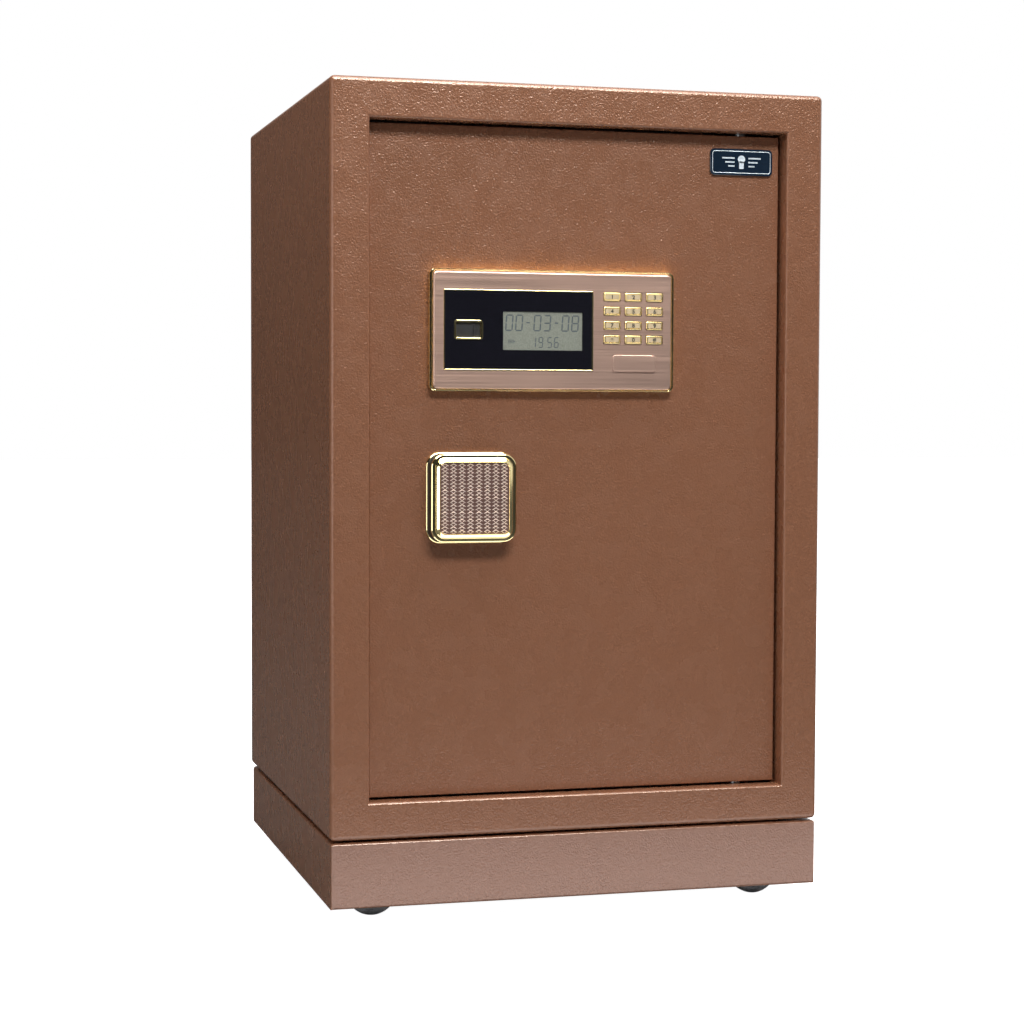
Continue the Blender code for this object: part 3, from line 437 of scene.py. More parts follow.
def even_normals(piece):
    """Keeps large flat faces flat in the light beside their small rounded edges."""
    normals = piece.modifiers.new("even_normals", "WEIGHTED_NORMAL")
    normals.keep_sharp = True
    normals.weight = 100


def fold_edges(bm, low, high, along_top):
    """The edges round the front of a folded box, and along the sides of its top if asked for."""
    def lies_on(edge, axis, limit):
        return all(abs(v.co[axis] - limit) < 1e-5 for v in edge.verts)

    chosen = []
    for edge in bm.edges:
        at_side = lies_on(edge, 0, low.x) or lies_on(edge, 0, high.x)
        at_top = lies_on(edge, 2, high.z)
        at_rim = at_side or at_top or lies_on(edge, 2, low.z)
        if (at_rim and lies_on(edge, 1, low.y)) or (along_top and at_side and at_top):
            chosen.append(edge)
    return chosen


def refined(node, finish, body, edge=0.0003, fold=0.0, fold_top=False):
    """A finer copy of a CAD node: its flat faces joined up and its sharp edges softly rounded."""
    bm = bmesh.new()
    bm.from_mesh(frame["nodes"][node].data)
    bmesh.ops.remove_doubles(bm, verts=bm.verts, dist=2e-6)
    bmesh.ops.dissolve_limit(bm, angle_limit=math.radians(0.5), verts=bm.verts, edges=bm.edges)
    if fold:
        chosen = fold_edges(bm, *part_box(node), fold_top)
        bmesh.ops.bevel(bm, geom=chosen, offset=fold, segments=6, profile=0.5, affect="EDGES")
    piece = new_piece(f"{node}_surface", bm, finish, body)
    bevel = piece.modifiers.new("soft_edges", "BEVEL")
    bevel.width = edge
    bevel.segments = 2
    bevel.limit_method = "ANGLE"
    bevel.angle_limit = math.radians(40)
    bevel.harden_normals = True
    if fold:
        even_normals(piece)
    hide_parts(node)
    return piece


def rounded_outline(width, height, radius, steps):
    """Points round a rectangle with rounded corners, as (x, z) from its middle."""
    points = []
    corners = ((1, 1, 0), (-1, 1, 90), (-1, -1, 180), (1, -1, 270))
    for side_x, side_z, start in corners:
        cx = side_x * (width / 2 - radius)
        cz = side_z * (height / 2 - radius)
        for step in range(steps + 1):
            angle = math.radians(start + 90 * step / steps)
            points.append((cx + radius * math.cos(angle), cz + radius * math.sin(angle)))
    return points


def shrunk(width, height, stations):
    """Sections for a loft, from stations of (what both sides lose, corner radius, y)."""
    return [(width - less, height - less, radius, y) for less, radius, y in stations]


def join_rings(bm, first, second):
    for i in range(len(first)):
        j = (i + 1) % len(first)
        bm.faces.new((first[i], first[j], second[j], second[i]))


def add_loft(bm, middle, sections, steps=8, closed=False):
    """Joins rounded rectangles, given as (width, height, radius, y), into one skin with end caps."""
    rings = []
    for width, height, radius, y in sections:
        outline = rounded_outline(width, height, radius, steps)
        rings.append([bm.verts.new((middle.x + px, y, middle.z + pz)) for px, pz in outline])
    for first, second in zip(rings, rings[1:]):
        join_rings(bm, first, second)
    if closed:
        join_rings(bm, rings[-1], rings[0])
    else:
        bm.faces.new(rings[0])
        bm.faces.new(rings[-1])


def loft(name, middle, sections, finish, body="door", steps=8, closed=False,
         smooth=SMOOTH_ANGLE):
    bm = bmesh.new()
    add_loft(bm, middle, sections, steps, closed)
    return new_piece(name, bm, finish, body, smooth)


def add_block(bm, low, high, edge=0.0, segments=2):
    low = Vector(low)
    high = Vector(high)
    scale = Matrix.Diagonal((*(high - low), 1.0))
    made = bmesh.ops.create_cube(bm, size=1.0, matrix=Matrix.Translation((low + high) / 2) @ scale)
    if edge:
        edges = {e for v in made["verts"] for e in v.link_edges}
        bmesh.ops.bevel(bm, geom=list(edges), offset=edge, segments=segments, profile=0.5,
                        affect="EDGES", clamp_overlap=True)


def add_turned(bm, start, axis, profile, steps=40):
    """Turns a profile of (radius, distance along the axis) about an axis; radius 0 closes an end."""
    axis = Vector(axis).normalized()
    turn = axis.to_track_quat("Z", "Y")
    rings = []
    for radius, along in profile:
        if radius < 1e-7:
            rings.append([bm.verts.new(Vector(start) + axis * along)])
            continue
        ring = []
        for step in range(steps):
            angle = 2 * math.pi * step / steps
            offset = turn @ Vector((radius * math.cos(angle), radius * math.sin(angle), along))
            ring.append(bm.verts.new(Vector(start) + offset))
        rings.append(ring)
    for first, second in zip(rings, rings[1:]):
        for i in range(steps):
            j = (i + 1) % steps
            corners = (first[i % len(first)], first[j % len(first)],
                       second[j % len(second)], second[i % len(second)])
            corners = list(dict.fromkeys(corners))
            if len(corners) > 2:
                bm.faces.new(corners)


def turned(name, start, axis, profile, finish, body, steps=40):
    bm = bmesh.new()
    add_turned(bm, start, axis, profile, steps)
    return new_piece(name, bm, finish, body)


def cut_out(piece, cutters):
    """Cuts shapes out of a piece for good. Each cutter is a bmesh."""
    for bm in cutters:
        bmesh.ops.recalc_face_normals(bm, faces=bm.faces)
        mesh = bpy.data.meshes.new("cutter")
        bm.to_mesh(mesh)
        bm.free()
        tool = put("cutter", mesh)
        modifier = piece.modifiers.new("cut", "BOOLEAN")
        modifier.operation = "DIFFERENCE"
        modifier.object = tool
        cut_mesh = evaluated_mesh(piece)
        piece.modifiers.remove(modifier)
        piece.data = cut_mesh
        bpy.data.objects.remove(tool, do_unlink=True)
    piece.data.set_sharp_from_angle(angle=math.radians(SMOOTH_ANGLE))


def evaluated_mesh(thing):
    """A new mesh of an object as it looks now."""
    bpy.context.view_layer.update()
    evaluated = thing.evaluated_get(bpy.context.evaluated_depsgraph_get())
    return bpy.data.meshes.new_from_object(evaluated)


def opening(middle, width, height, radius, front, back, steps=6):
    """A cutter for a rounded rectangular hole."""
    bm = bmesh.new()
    add_loft(bm, middle, shrunk(width, height, [(0, radius, front), (0, radius, back)]), steps)
    return bm


# ---- cabinet

def make_cabinet():
    refined("outer_shell", BRONZE, "cabinet", 0.0004, fold=0.0042, fold_top=True)
    refined("rear_panel", BRONZE, "cabinet", 0.0005)
    # The plinth's front faces carry a painted floor reflection.
    refined("plinth", BRONZE_WITH_PAINTED_FLOOR_REFLECTION, "cabinet", 0.0004, fold=0.0020)
    # The door stop wears painted shade, not its own colour.
    refined("door_stop", SHADE, "cabinet")
    refined("inner_liner", LINING, "cabinet")
    refined("shelf", LINING, "cabinet", 0.0005)
    for name in ("shelf_bracket_left", "shelf_bracket_right", "upper_hinge_pin", "lower_hinge_pin"):
        refined(name, STEEL, "cabinet")
    make_mats()
    make_bracket_screws()
    make_rear_details()


def make_mats():
    """Loose flocked mats on the compartment floor and on the shelf."""
    liner_low, liner_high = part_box("inner_liner")
    shelf_low, shelf_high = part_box("shelf")
    thick = 0.0022
    margin = 0.006
    liner_wall = 0.0015
    for name, low_y, floor_z, half in (
            ("compartment_mat", liner_low.y + 0.034, liner_low.z + liner_wall,
             liner_high.x - liner_wall - margin),
            ("shelf_mat", shelf_low.y + margin, shelf_high.z, shelf_high.x - margin)):
        bm = bmesh.new()
        add_block(bm, (-half, low_y, floor_z + 0.0001),
                  (half, shelf_high.y - margin, floor_z + thick), 0.0009, 3)
        new_piece(name, bm, MAT, "cabinet")


def add_painted_cross_shade(bm, place, outward):
    """Two thin dark bars on the head: painted shade standing in for its cross recess."""
    outward = Vector(outward)
    side = outward.cross(Vector((0.0, 0.0, 1.0))).normalized()
    upright = side.cross(outward)
    for run, across in ((side, upright), (upright, side)):
        ends = (run * 0.55 + across * 0.11) * SCREW_RADIUS + outward * 0.00004
        half = Vector([abs(c) for c in ends])
        middle = Vector(place) + outward * SCREW_HEIGHT
        add_block(bm, middle - half, middle + half)


def screws(name, places, outward, body):
    """Pan-head screws standing on a face."""
    heads = bmesh.new()
    cross_shades = bmesh.new()
    shape = ((0.0, 0.0), (1.0, 0.0), (1.0, 0.35), (0.9, 0.72), (0.62, 0.95), (0.3, 1.0), (0.0, 1.0))
    profile = [(SCREW_RADIUS * radius, SCREW_HEIGHT * along) for radius, along in shape]
    for place in places:
        add_turned(heads, place, outward, profile, 20)
        add_painted_cross_shade(cross_shades, place, outward)
    new_piece(f"{name}_screws", heads, STEEL, body)
    # The dark bars are painted shade for the cross recesses.
    new_piece(f"{name}_screw_cross_painted_shade", cross_shades, DARK_PLASTIC, body)


def make_bracket_screws():
    sheet = 0.0015
    for side, name in ((1, "shelf_bracket_left"), (-1, "shelf_bracket_right")):
        low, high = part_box(name)
        face = (low.x if side > 0 else high.x) + side * sheet
        z = (low.z + high.z) / 2 - 0.001
        places = [(face, low.y + share * (high.y - low.y), z) for share in (0.1, 0.5, 0.9)]
        screws(name, places, (side, 0, 0), "cabinet")


def make_rear_details():
    """Two plugged anchor holes in the rear panel."""
    low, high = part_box("rear_panel")
    z = BODY_BOTTOM + 0.40
    profile = [(0, 0), (0.0085, 0.0), (0.0085, 0.0003), (0.0070, 0.0005), (0.0045, 0.0005),
               (0.0040, 0.0002), (0.0, 0.0002)]
    for name, share in (("left", 0.25), ("right", 0.75)):
        x = low.x + share * (high.x - low.x)
        turned(f"anchor_plug_{name}", (x, high.y, z), (0, 1, 0), profile, DARK_PLASTIC, "cabinet")


# ---- castors

def make_castors():
    for name in ("front_left", "front_right", "rear_left", "rear_right"):
        fork = f"castor_fork_{name}"
        refined(fork, STEEL, fork)
        make_wheel(name, f"castor_wheel_{name}")
        make_castor_plate(name, fork)


def make_wheel(name, node):
    """A wheel with a crowned tread, a dished hub and a bearing collar."""
    middle = centre(node)
    half = extent(node).y / 2
    radius = extent(node).z / 2
    side = [(0.0033, half), (0.0055, half), (0.0058, half - 0.0004), (0.0062, half - 0.0022),
            (0.0120, half - 0.0030), (0.0128, half - 0.0012), (0.0140, half - 0.0010)]
    tread = [side[-1]]
    turns = 6
    corner = 0.0035
    for step in range(turns + 1):
        angle = math.pi / 2 * (1 - step / turns)
        tread.append((radius - 0.0002 - corner + corner * math.cos(angle),
                      half - 0.0010 - corner + corner * math.sin(angle)))
    mirrored = [(r, -y) for r, y in reversed(side)]
    hub = turned(f"castor_hub_{name}", middle, (0, 1, 0), side + mirrored + side[:1], HUB, node, 48)
    mirrored = [(r, -y) for r, y in reversed(tread)]
    turned(f"castor_tread_{name}", middle, (0, 1, 0), tread + [(radius, 0.0)] + mirrored + tread[:1],
           TREAD, node, 64)
    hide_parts(node)


def make_castor_plate(name, fork):
    """The square plate bolted under the plinth's deck, with the swivel race below it."""
    low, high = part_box(fork)
    y = (low.y + high.y) / 2
    stem_from_edge = 0.015
    x = low.x + stem_from_edge if low.x > 0 else high.x - stem_from_edge
    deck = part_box("plinth")[1].z - 0.002
    plate = deck - 0.0018
    race = [(0.0160, -0.0044), (0.0172, -0.0032), (0.0172, -0.0016), (0.0160, -0.0004),
            (0.0160, 0.0), (0.0160, -0.0044)]
    turned(f"castor_race_{name}", (x, y, plate), (0, 0, 1), race, STEEL, "cabinet")
    half = 0.0195
    bolt = 0.0155
    bm = bmesh.new()
    add_block(bm, (x - half, y - half, plate), (x + half, y + half, deck), 0.0004)
    bolt_head = [(0, 0), (0.0030, 0.0), (0.0030, 0.0014), (0.0022, 0.0018), (0.0, 0.0018)]
    for side_x in (-bolt, bolt):
        for side_y in (-bolt, bolt):
            add_turned(bm, (x + side_x, y + side_y, plate), (0, 0, -1), bolt_head, 12)
    new_piece(f"castor_plate_{name}", bm, STEEL, "cabinet")


# ---- door and its back

def make_door():
    refined("door_plate", BRONZE, "door")
    refined("door_frame", BRONZE, "door", 0.0004)
    refined("door_back_cover", BRONZE, "door", 0.0004)
    refined("solenoid", DARK_PLASTIC, "door")
    refined("lock_cylinder", BRASS, "door", 0.0002)
    refined("lock_core", BRASS, "lock_core", 0.00015)
    refined("control_board", BOARD, "door", 0.0001)
    refined("solenoid_plunger", STEEL, "solenoid_plunger")
    refined("bolt_carrier", STEEL, "bolt_carriage")
    refined("bolt_top", STEEL, "bolt_top")
    refined("bolt_bottom", STEEL, "bolt_bottom")
    refined("crank_disc", STEEL, "handle", 0.0002)
    refined("handle_spindle", STEEL, "handle")
    make_side_bolts()
    make_back_cover_details()
    make_battery_box()
    make_reset_button()


def make_side_bolts():
    """Round bolts with a turned nose chamfer and a fine groove behind it."""
    for name in ("bolt_lower", "bolt_middle", "bolt_upper"):
        middle = centre(name)
        radius = extent(name).z / 2
        length = extent(name).x
        start = (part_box(name)[1].x, middle.y, middle.z)
        profile = [(0, 0), (radius - 0.0004, 0.0), (radius, 0.0004), (radius, length - 0.0026),
                   (radius - 0.0003, length - 0.0024), (radius - 0.0003, length - 0.0019),
                   (radius, length - 0.0017), (radius, length - 0.0010), (radius - 0.0010, length),
                   (0.0, length)]
        bolt = turned(f"{name}_turned", start, (-1, 0, 0), profile, STEEL, "bolt_carriage", 48)
        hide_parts(name)


def make_back_cover_details():
    """Screws round the back cover, and the raised, pressed field in its lower part."""
    low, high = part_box("door_back_cover")
    inset = 0.010
    places = []
    for x in (low.x + inset, high.x - inset):
        for share in (0.0, 0.25, 0.5, 0.75, 1.0):
            places.append((x, high.y, low.z + inset + share * (high.z - low.z - 2 * inset)))
    for z in (low.z + inset, high.z - inset):
        places.append(((low.x + high.x) / 2, high.y, z))
    screws("door_back", places, (0, 1, 0), "door")
    width = (high.x - low.x) - 0.060
    height = 0.150
    middle = Vector(((low.x + high.x) / 2, high.y, low.z + 0.045 + height / 2))
    sections = shrunk(width, height, [
        (-0.006, 0.014, high.y - 0.0005), (-0.005, 0.0135, high.y + 0.0002),
        (-0.001, 0.012, high.y + 0.0018), (0, 0.0115, high.y + 0.0020)])
    loft("door_back_pressing", middle, sections, BRONZE, steps=10)


def make_battery_box():
    refined("battery_box", DARK_PLASTIC, "door")
    refined("battery_lid", DARK_PLASTIC, "battery_lid")
    low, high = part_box("battery_box")
    wall = 0.0018
    radius = 0.0068
    cells = 4
    pitch = (high.z - low.z - 2 * wall) / cells
    cell = [(0, 0), (radius - 0.0005, 0.0), (radius, 0.0006), (radius, 0.0495),
            (radius - 0.0006, 0.0500), (0.0030, 0.0500), (0.0028, 0.0515), (0.0, 0.0515)]
    for index in range(cells):
        flip = 1 if index % 2 == 0 else -1
        place = Vector(((low.x + high.x) / 2 - flip * 0.0262, low.y + wall + radius + 0.0006,
                        low.z + wall + pitch * (index + 0.5)))
        turned(f"battery_cell_{index + 1}", place, (flip, 0, 0), cell,
               SILVER if index % 2 else CELL_GOLD, "door", 28)
        make_spring(f"battery_spring_{index + 1}", place - Vector((flip * 0.0042, 0.0, 0.0)), flip)


def make_spring(name, start, flip):
    """A small helical spring of round wire along X, as a curve."""
    length = 0.0038
    radius = 0.0040
    turns = 3
    steps = turns * 12
    data = bpy.data.curves.new(name, "CURVE")
    data.dimensions = "3D"
    data.bevel_depth = 0.00035
    data.bevel_resolution = 2
    data.use_fill_caps = True
    spline = data.splines.new("NURBS")
    spline.points.add(steps)
    spline.use_endpoint_u = True
    spline.order_u = 4
    for step, point in enumerate(spline.points):
        share = step / steps
        angle = 2 * math.pi * turns * share
        point.co = (start.x + flip * length * share, start.y + radius * math.cos(angle),
                    start.z + radius * math.sin(angle), 1.0)
    dress(put(name, data), STEEL, "door")


def make_reset_button():
    node = "reset_button"
    middle = centre(node)
    radius = extent(node).x / 2
    length = extent(node).y
    profile = [(0, 0), (radius, 0.0), (radius, length - 0.0012),
               (radius - 0.0004, length - 0.0004), (radius - 0.0013, length), (0.0, length)]
    button = turned("reset_button_cap", (middle.x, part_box(node)[0].y, middle.z), (0, 1, 0), profile,
                    RED, node)
    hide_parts(node)
    collar = [(radius + wider, along) for wider, along in (
        (0.0004, 0.0), (0.0030, 0.0), (0.0030, 0.0006), (0.0022, 0.0013), (0.0007, 0.0013),
        (0.0004, 0.0010), (0.0004, 0.0))]
    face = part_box("door_back_cover")[1].y
    turned("reset_button_collar", (middle.x, face, middle.z), (0, 1, 0), collar, STEEL, "door")


# ---- knob

def make_knob():
    """Gold-plated square knob: a flange, a waist coloured black as a painted dark reflection, a
    stepped rim and a patterned inlay.
    """
    low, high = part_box("handle_body")
    middle = (low + high) / 2
    side = high.x - low.x
    rise = high.y - low.y
    # How far each station lies inside the outline, and how far it stands off the door.
    profile = [(0, 0), (0.0, 0.0003), (0.0003, 0.0009), (0.0008, 0.0013), (0.0010, 0.0014),
               (0.0014, 0.0116), (0.0017, 0.0123), (0.0022, 0.0127), (0.0042, 0.0128),
               (0.0044, 0.0129), (0.0045, 0.0133), (0.0050, 0.0138), (0.0066, rise - 0.0005),
               (0.0071, rise - 0.0001), (0.0074, rise), (0.0076, rise - 0.0003),
               (0.0077, rise - 0.0014)]
    outer_radius = 0.0108
    inner_radius = 0.0042
    deepest = profile[-1][0]
    narrowing = (inner_radius - outer_radius) / deepest
    sections = shrunk(side, side, [
        (2 * inside, outer_radius + narrowing * inside, high.y - height)
        for inside, height in profile])
    loft("knob_flange", middle, sections[:5], GOLD, "handle", 12)
    # The waist is black as a painted dark reflection of the gold wall.
    loft("knob_waist", middle, sections[4:6], WAIST_PAINTED_DARK_REFLECTION, "handle", 12)
    knob = loft("knob_body", middle, sections[5:], GOLD, "handle", 12, smooth=12.0)
    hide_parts("handle_body")
    make_inlay(middle, side - 2 * deepest, low.y + 0.0010, inner_radius)


def make_inlay(middle, side, face, radius):
    """Rose plate with eight upright raised chains, coloured pale cream: their own lighter tone with a
    painted highlight on the ridges.
    """
    sections = shrunk(side, side, [
        (0, radius, face + 0.0006), (0, radius, face + 0.0001), (0.0002, radius - 0.0001, face)])
    plate = loft("knob_inlay_plate", middle, sections, INLAY, "handle")
    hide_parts("handle_inlay")
    columns = 8
    rows = 19
    field = side - 0.0008
    pitch_x = field / columns
    pitch_z = field / rows
    bm = bmesh.new()
    for column in range(columns):
        x = pitch_x * (column + 0.5) - field / 2
        for row in range(rows):
            z = pitch_z * (row + 0.5) - field / 2
            if in_rounded_square(x, z, field, radius):
                add_link(bm, middle.x + x, middle.z + z, face, pitch_x, pitch_z)
    # The chains' cream colour carries a painted highlight on their ridges.
    new_piece("knob_inlay_chain", bm, CREAM_WITH_PAINTED_HIGHLIGHT, "handle", 20.0)


def in_rounded_square(x, z, side, radius):
    """Leaves out a link whose middle lies outside the plate's rounded corner."""
    over_x = abs(x) - (side / 2 - radius)
    over_z = abs(z) - (side / 2 - radius)
    return over_x <= 0 or over_z <= 0 or math.hypot(over_x, over_z) < radius * 0.9


def add_link(bm, x, z, face, pitch_x, pitch_z):
    """One link: a wide ridge bent down at both sides, and a small one that closes it below."""
    top = z + pitch_z * 0.36
    shoulder = top - pitch_z * 0.52
    for side in (-1, 1):
        add_ridge(bm, (x, top), (x + side * pitch_x * 0.41, shoulder), face, pitch_z * 0.30, 0.00050)
    for side in (-1, 1):
        add_ridge(bm, (x + side * pitch_x * 0.25, shoulder), (x, top - pitch_z * 0.94), face,
                  pitch_z * 0.22, 0.00042)


def add_ridge(bm, start, end, face, thick, lift):
    """A straight ridge of triangular section that narrows towards its outer end."""
    foot = face + 0.0001
    rings = []
    for (x, z), size in ((start, 1.0), (end, 0.62)):
        half = thick * size * 0.6
        rings.append([bm.verts.new(place) for place in (
            (x, foot, z + half), (x, face - lift * size, z), (x, foot, z - half))])
    join_rings(bm, *rings)
    for ring in rings:
        bm.faces.new(ring)


# ---- control panel

def make_panel():
    """A gold tray with the rose bezel and everything on it."""
    low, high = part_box("keypad_base")
    middle = (low + high) / 2
    front = low.y
    inner = extent("keypad_bezel")
    slack = 0.0005
    sections = shrunk(high.x - low.x, high.z - low.z, [
        (0.0008, 0.0042, high.y), (0, 0.0045, high.y - 0.0004), (0, 0.0045, front + 0.0011),
        (0.0004, 0.0043, front + 0.0005), (0.0012, 0.0039, front + 0.0001), (0.0020, 0.0036, front)])
    sections += shrunk(inner.x, inner.z, [
        (-3 * slack, 0.0037, front + 0.0001), (-slack, 0.0034, front + 0.0006),
        (-slack, 0.0034, high.y - 0.0010)])
    base = loft("panel_gold_tray", middle, sections, GOLD, smooth=16.0)
    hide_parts("keypad_base")
    make_bezel(middle, inner)
    make_window()
    make_display()
    make_fingerprint_reader()
    make_keys()
    make_keyhole_cover()


def make_bezel(middle, size):
    """The rose plate, open for the window, the keys and the lock."""
    front = BEZEL_FACE
    before = front - 0.005
    behind = front + 0.0040
    sections = shrunk(size.x, size.z, [
        (0, 0.0032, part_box("keypad_bezel")[1].y), (0, 0.0032, front + 0.0012),
        (0.0006, 0.0030, front + 0.0006), (0.0016, 0.0026, front + 0.0002), (0.0026, 0.0022, front)])
    bezel = loft("panel_rose_bezel", middle, sections, ROSE)
    window = extent("display_window")
    window_hole = opening(centre("display_window"), window.x + 0.0006, window.z + 0.0006, 0.0006,
                          before, behind, 3)
    key_holes = bmesh.new()
    for name in KEYS:
        add_loft(key_holes, centre(name),
                 shrunk(0.0137, 0.0070, [(0, 0.0011, before), (0, 0.0011, behind)]), 4)
    lock = centre("lock_cylinder")
    keyhole = bmesh.new()
    add_turned(keyhole, (lock.x, before, lock.z), (0, 1, 0),
               [(0, 0), (0.0049, 0.0), (0.0049, 0.009), (0.0, 0.009)], 32)
    cut_out(bezel, [window_hole, key_holes, keyhole])
    even_normals(bezel)
    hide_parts("keypad_bezel")


def frame_ring(name, middle, width, height, radius, band, front, back, finish, steps=6):
    """A rectangular trim ring with a softly domed front."""
    inner_radius = max(radius - band, 0.0002)
    soft = min(0.0003, band / 3)
    sections = shrunk(width, height, [
        (0, radius, back), (0, radius, front + soft), (0.6 * soft, radius, front + 0.3 * soft),
        (2 * soft, radius, front)])
    sections += shrunk(width - 2 * band, height - 2 * band, [
        (-2 * soft, inner_radius, front), (-0.6 * soft, inner_radius, front + 0.3 * soft),
        (0, inner_radius, front + soft), (0, inner_radius, back)])
    return loft(name, middle, sections, finish, steps=steps, closed=True)


def make_window():
    """Black gloss window with a gold trim line, open over the display and the fingerprint reader."""
    middle = centre("display_window")
    size = extent("display_window")
    front = BEZEL_FACE + 0.00005
    frame_ring("window_gold_trim", middle, size.x + 0.0005, size.z + 0.0005, 0.0007, 0.0009,
               front - 0.00035, front + 0.0010, GOLD, 4)
    sections = shrunk(size.x, size.z, [(0, 0.0005, front + 0.0017), (0, 0.0005, front)])
    glass = loft("window_glass", middle, sections, BLACK_GLASS, steps=3)
    reader = extent("fingerprint_bezel")
    slack = 0.0008
    before = front - 0.005
    behind = front + 0.01
    cut_out(glass, [opening(centre("lcd_module"), LCD_WIDTH, LCD_HEIGHT, 0.0003, before, behind, 2),
                    opening(centre("fingerprint_bezel"), reader.x - slack, reader.z - slack,
                            0.0012, before, behind, 4)])
    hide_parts("display_window")


DIGIT_BARS = {"0": "abcdef", "1": "bc", "3": "abcdg", "5": "acdfg", "6": "acdefg", "8": "abcdefg",
              "9": "abcdfg"}


def add_bar(bm, ends, thick, y):
    """One bar of a digit: a long hexagon between two points."""
    (ax, az), (bx, bz) = ends
    a = Vector((ax, y, az))
    b = Vector((bx, y, bz))
    along = (b - a).normalized() * (thick / 2)
    across = Vector((-along.z, 0.0, along.x))
    outline = [a, a + along + across, b - along + across, b, b - along - across, a + along - across]
    front = [bm.verts.new(p) for p in outline]
    back = [bm.verts.new(p + Vector((0.0, PRINT_DEPTH, 0.0))) for p in outline]
    bm.faces.new(front)
    bm.faces.new(back[::-1])
    join_rings(bm, back, front)


def add_patch(bm, y, left, bottom, width, height):
    """A thin printed rectangle."""
    add_block(bm, (left, y, bottom), (left + width, y + PRINT_DEPTH, bottom + height))


def add_digit(bm, digit, x, z, width, height, thick, y):
    """A slanted seven-bar digit. x and z are its lower left corner."""
    slant = 0.07
    half = height / 2
    lines = {
        "a": ((0.0, height), (width, height)), "b": ((width, half), (width, height)),
        "c": ((width, 0.0), (width, half)), "d": ((0.0, 0.0), (width, 0.0)),
        "e": ((0.0, 0.0), (0.0, half)), "f": ((0.0, half), (0.0, height)),
        "g": ((0.0, half), (width, half)),
    }
    for bar in DIGIT_BARS[digit]:
        start, end = (Vector(point) for point in lines[bar])
        gap = (end - start).normalized() * (thick * 0.14)
        ends = [(x + point.x + slant * point.y, z + point.y) for point in (start + gap, end - gap)]
        add_bar(bm, ends, thick, y)


def make_display():
    """Grey-green display with a date row, a time row and faint unused symbols."""
    middle = centre("lcd_module")
    left = middle.x - LCD_WIDTH / 2
    bottom = middle.z - LCD_HEIGHT / 2
    face = BEZEL_FACE + 0.0006
    overlap = 0.002
    sections = shrunk(LCD_WIDTH, LCD_HEIGHT, [(-overlap, 0.0003, y) for y in (face + 0.0016, face)])
    field = loft("lcd_field", middle, sections, LCD_FIELD, steps=3)
    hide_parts("lcd_module")
    ink = bmesh.new()
    ink_face = face - 0.00006
    for text, x in (("00", 0.0021), ("03", 0.0236), ("08", 0.0452)):
        for index, digit in enumerate(text):
            add_digit(ink, digit, left + x + index * 0.0075, bottom + 0.0144, 0.0048, 0.0112, 0.0010,
                      ink_face)
    dash_height = bottom + 0.0202
    for x in (left + 0.0176, left + 0.0395):
        add_bar(ink, ((x, dash_height), (x + 0.0031, dash_height)), 0.0010, ink_face)
    for digit, x in (("1", 0.0219), ("9", 0.0273), ("5", 0.0341), ("6", 0.0393)):
        add_digit(ink, digit, left + x, bottom + 0.0021, 0.0029, 0.0074, 0.0007, ink_face)
    add_battery_symbol(ink, left + 0.0038, bottom + 0.0051, ink_face)
    new_piece("lcd_digits", ink, LCD_INK, "door")
    make_faint_symbols(left, bottom, ink_face + 0.00002)


def add_battery_symbol(bm, x, z, y):
    width = 0.0048
    height = 0.0024
    line = 0.0004
    add_patch(bm, y, x, z, width, line)
    add_patch(bm, y, x, z + height - line, width, line)
    add_patch(bm, y, x + width, z + height * 0.28, line * 1.6, height * 0.44)
    for index in range(4):
        add_patch(bm, y, x + line + index * 0.00112, z + 2 * line, 0.00075, height - 4 * line)


def make_faint_symbols(left, bottom, y):
    """Unlit parts of the display that show faintly: colon dots, signal arcs and a padlock."""
    bm = bmesh.new()
    for z in (0.0040, 0.0072):
        add_patch(bm, y, left + 0.0322, bottom + z, 0.0006, 0.0006)
    steps = 5
    for radius in (0.0010, 0.0019, 0.0028):
        for step in range(steps):
            angles = [math.radians(40 + 100 * (step + end) / steps) for end in (0, 1)]
            ends = [(left + 0.0520 + radius * math.cos(a), bottom + 0.0030 + radius * math.sin(a))
                    for a in angles]
            add_bar(bm, ends, 0.00035, y)
    add_patch(bm, y, left + 0.0452, bottom + 0.0026, 0.0022, 0.0018)
    for ax, az, bx, bz in (
            (0.0456, 0.0044, 0.0456, 0.0058), (0.0470, 0.0044, 0.0470, 0.0058),
            (0.0455, 0.0059, 0.0471, 0.0059)):
        add_bar(bm, ((left + ax, bottom + az), (left + bx, bottom + bz)), 0.0003, y)
    new_piece("lcd_faint_symbols", bm, LCD_FAINT, "door")


def make_fingerprint_reader():
    """Gold surround with rounded corners and a dark recessed touch window with a guide rib."""
    low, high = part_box("fingerprint_bezel")
    ring = frame_ring("fingerprint_gold_ring", (low + high) / 2, high.x - low.x, high.z - low.z,
                      0.0022, 0.0014, low.y, high.y, GOLD)
    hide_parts("fingerprint_bezel")
    low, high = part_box("fingerprint_sensor")
    glass = low.y + 0.0004
    rib = high.x - 0.0052
    rib_end = rib + 0.0012
    bm = bmesh.new()
    for start, face, end, edge in (
            (low.x, glass, rib, 0.0003), (rib, glass - 0.0007, rib_end, 0.0002),
            (rib_end, glass + 0.0003, high.x, 0.0002)):
        add_block(bm, (start, face, low.z), (end, high.y, high.z), edge)
    sensor = new_piece("fingerprint_window", bm, SENSOR, "door")
    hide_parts("fingerprint_sensor")


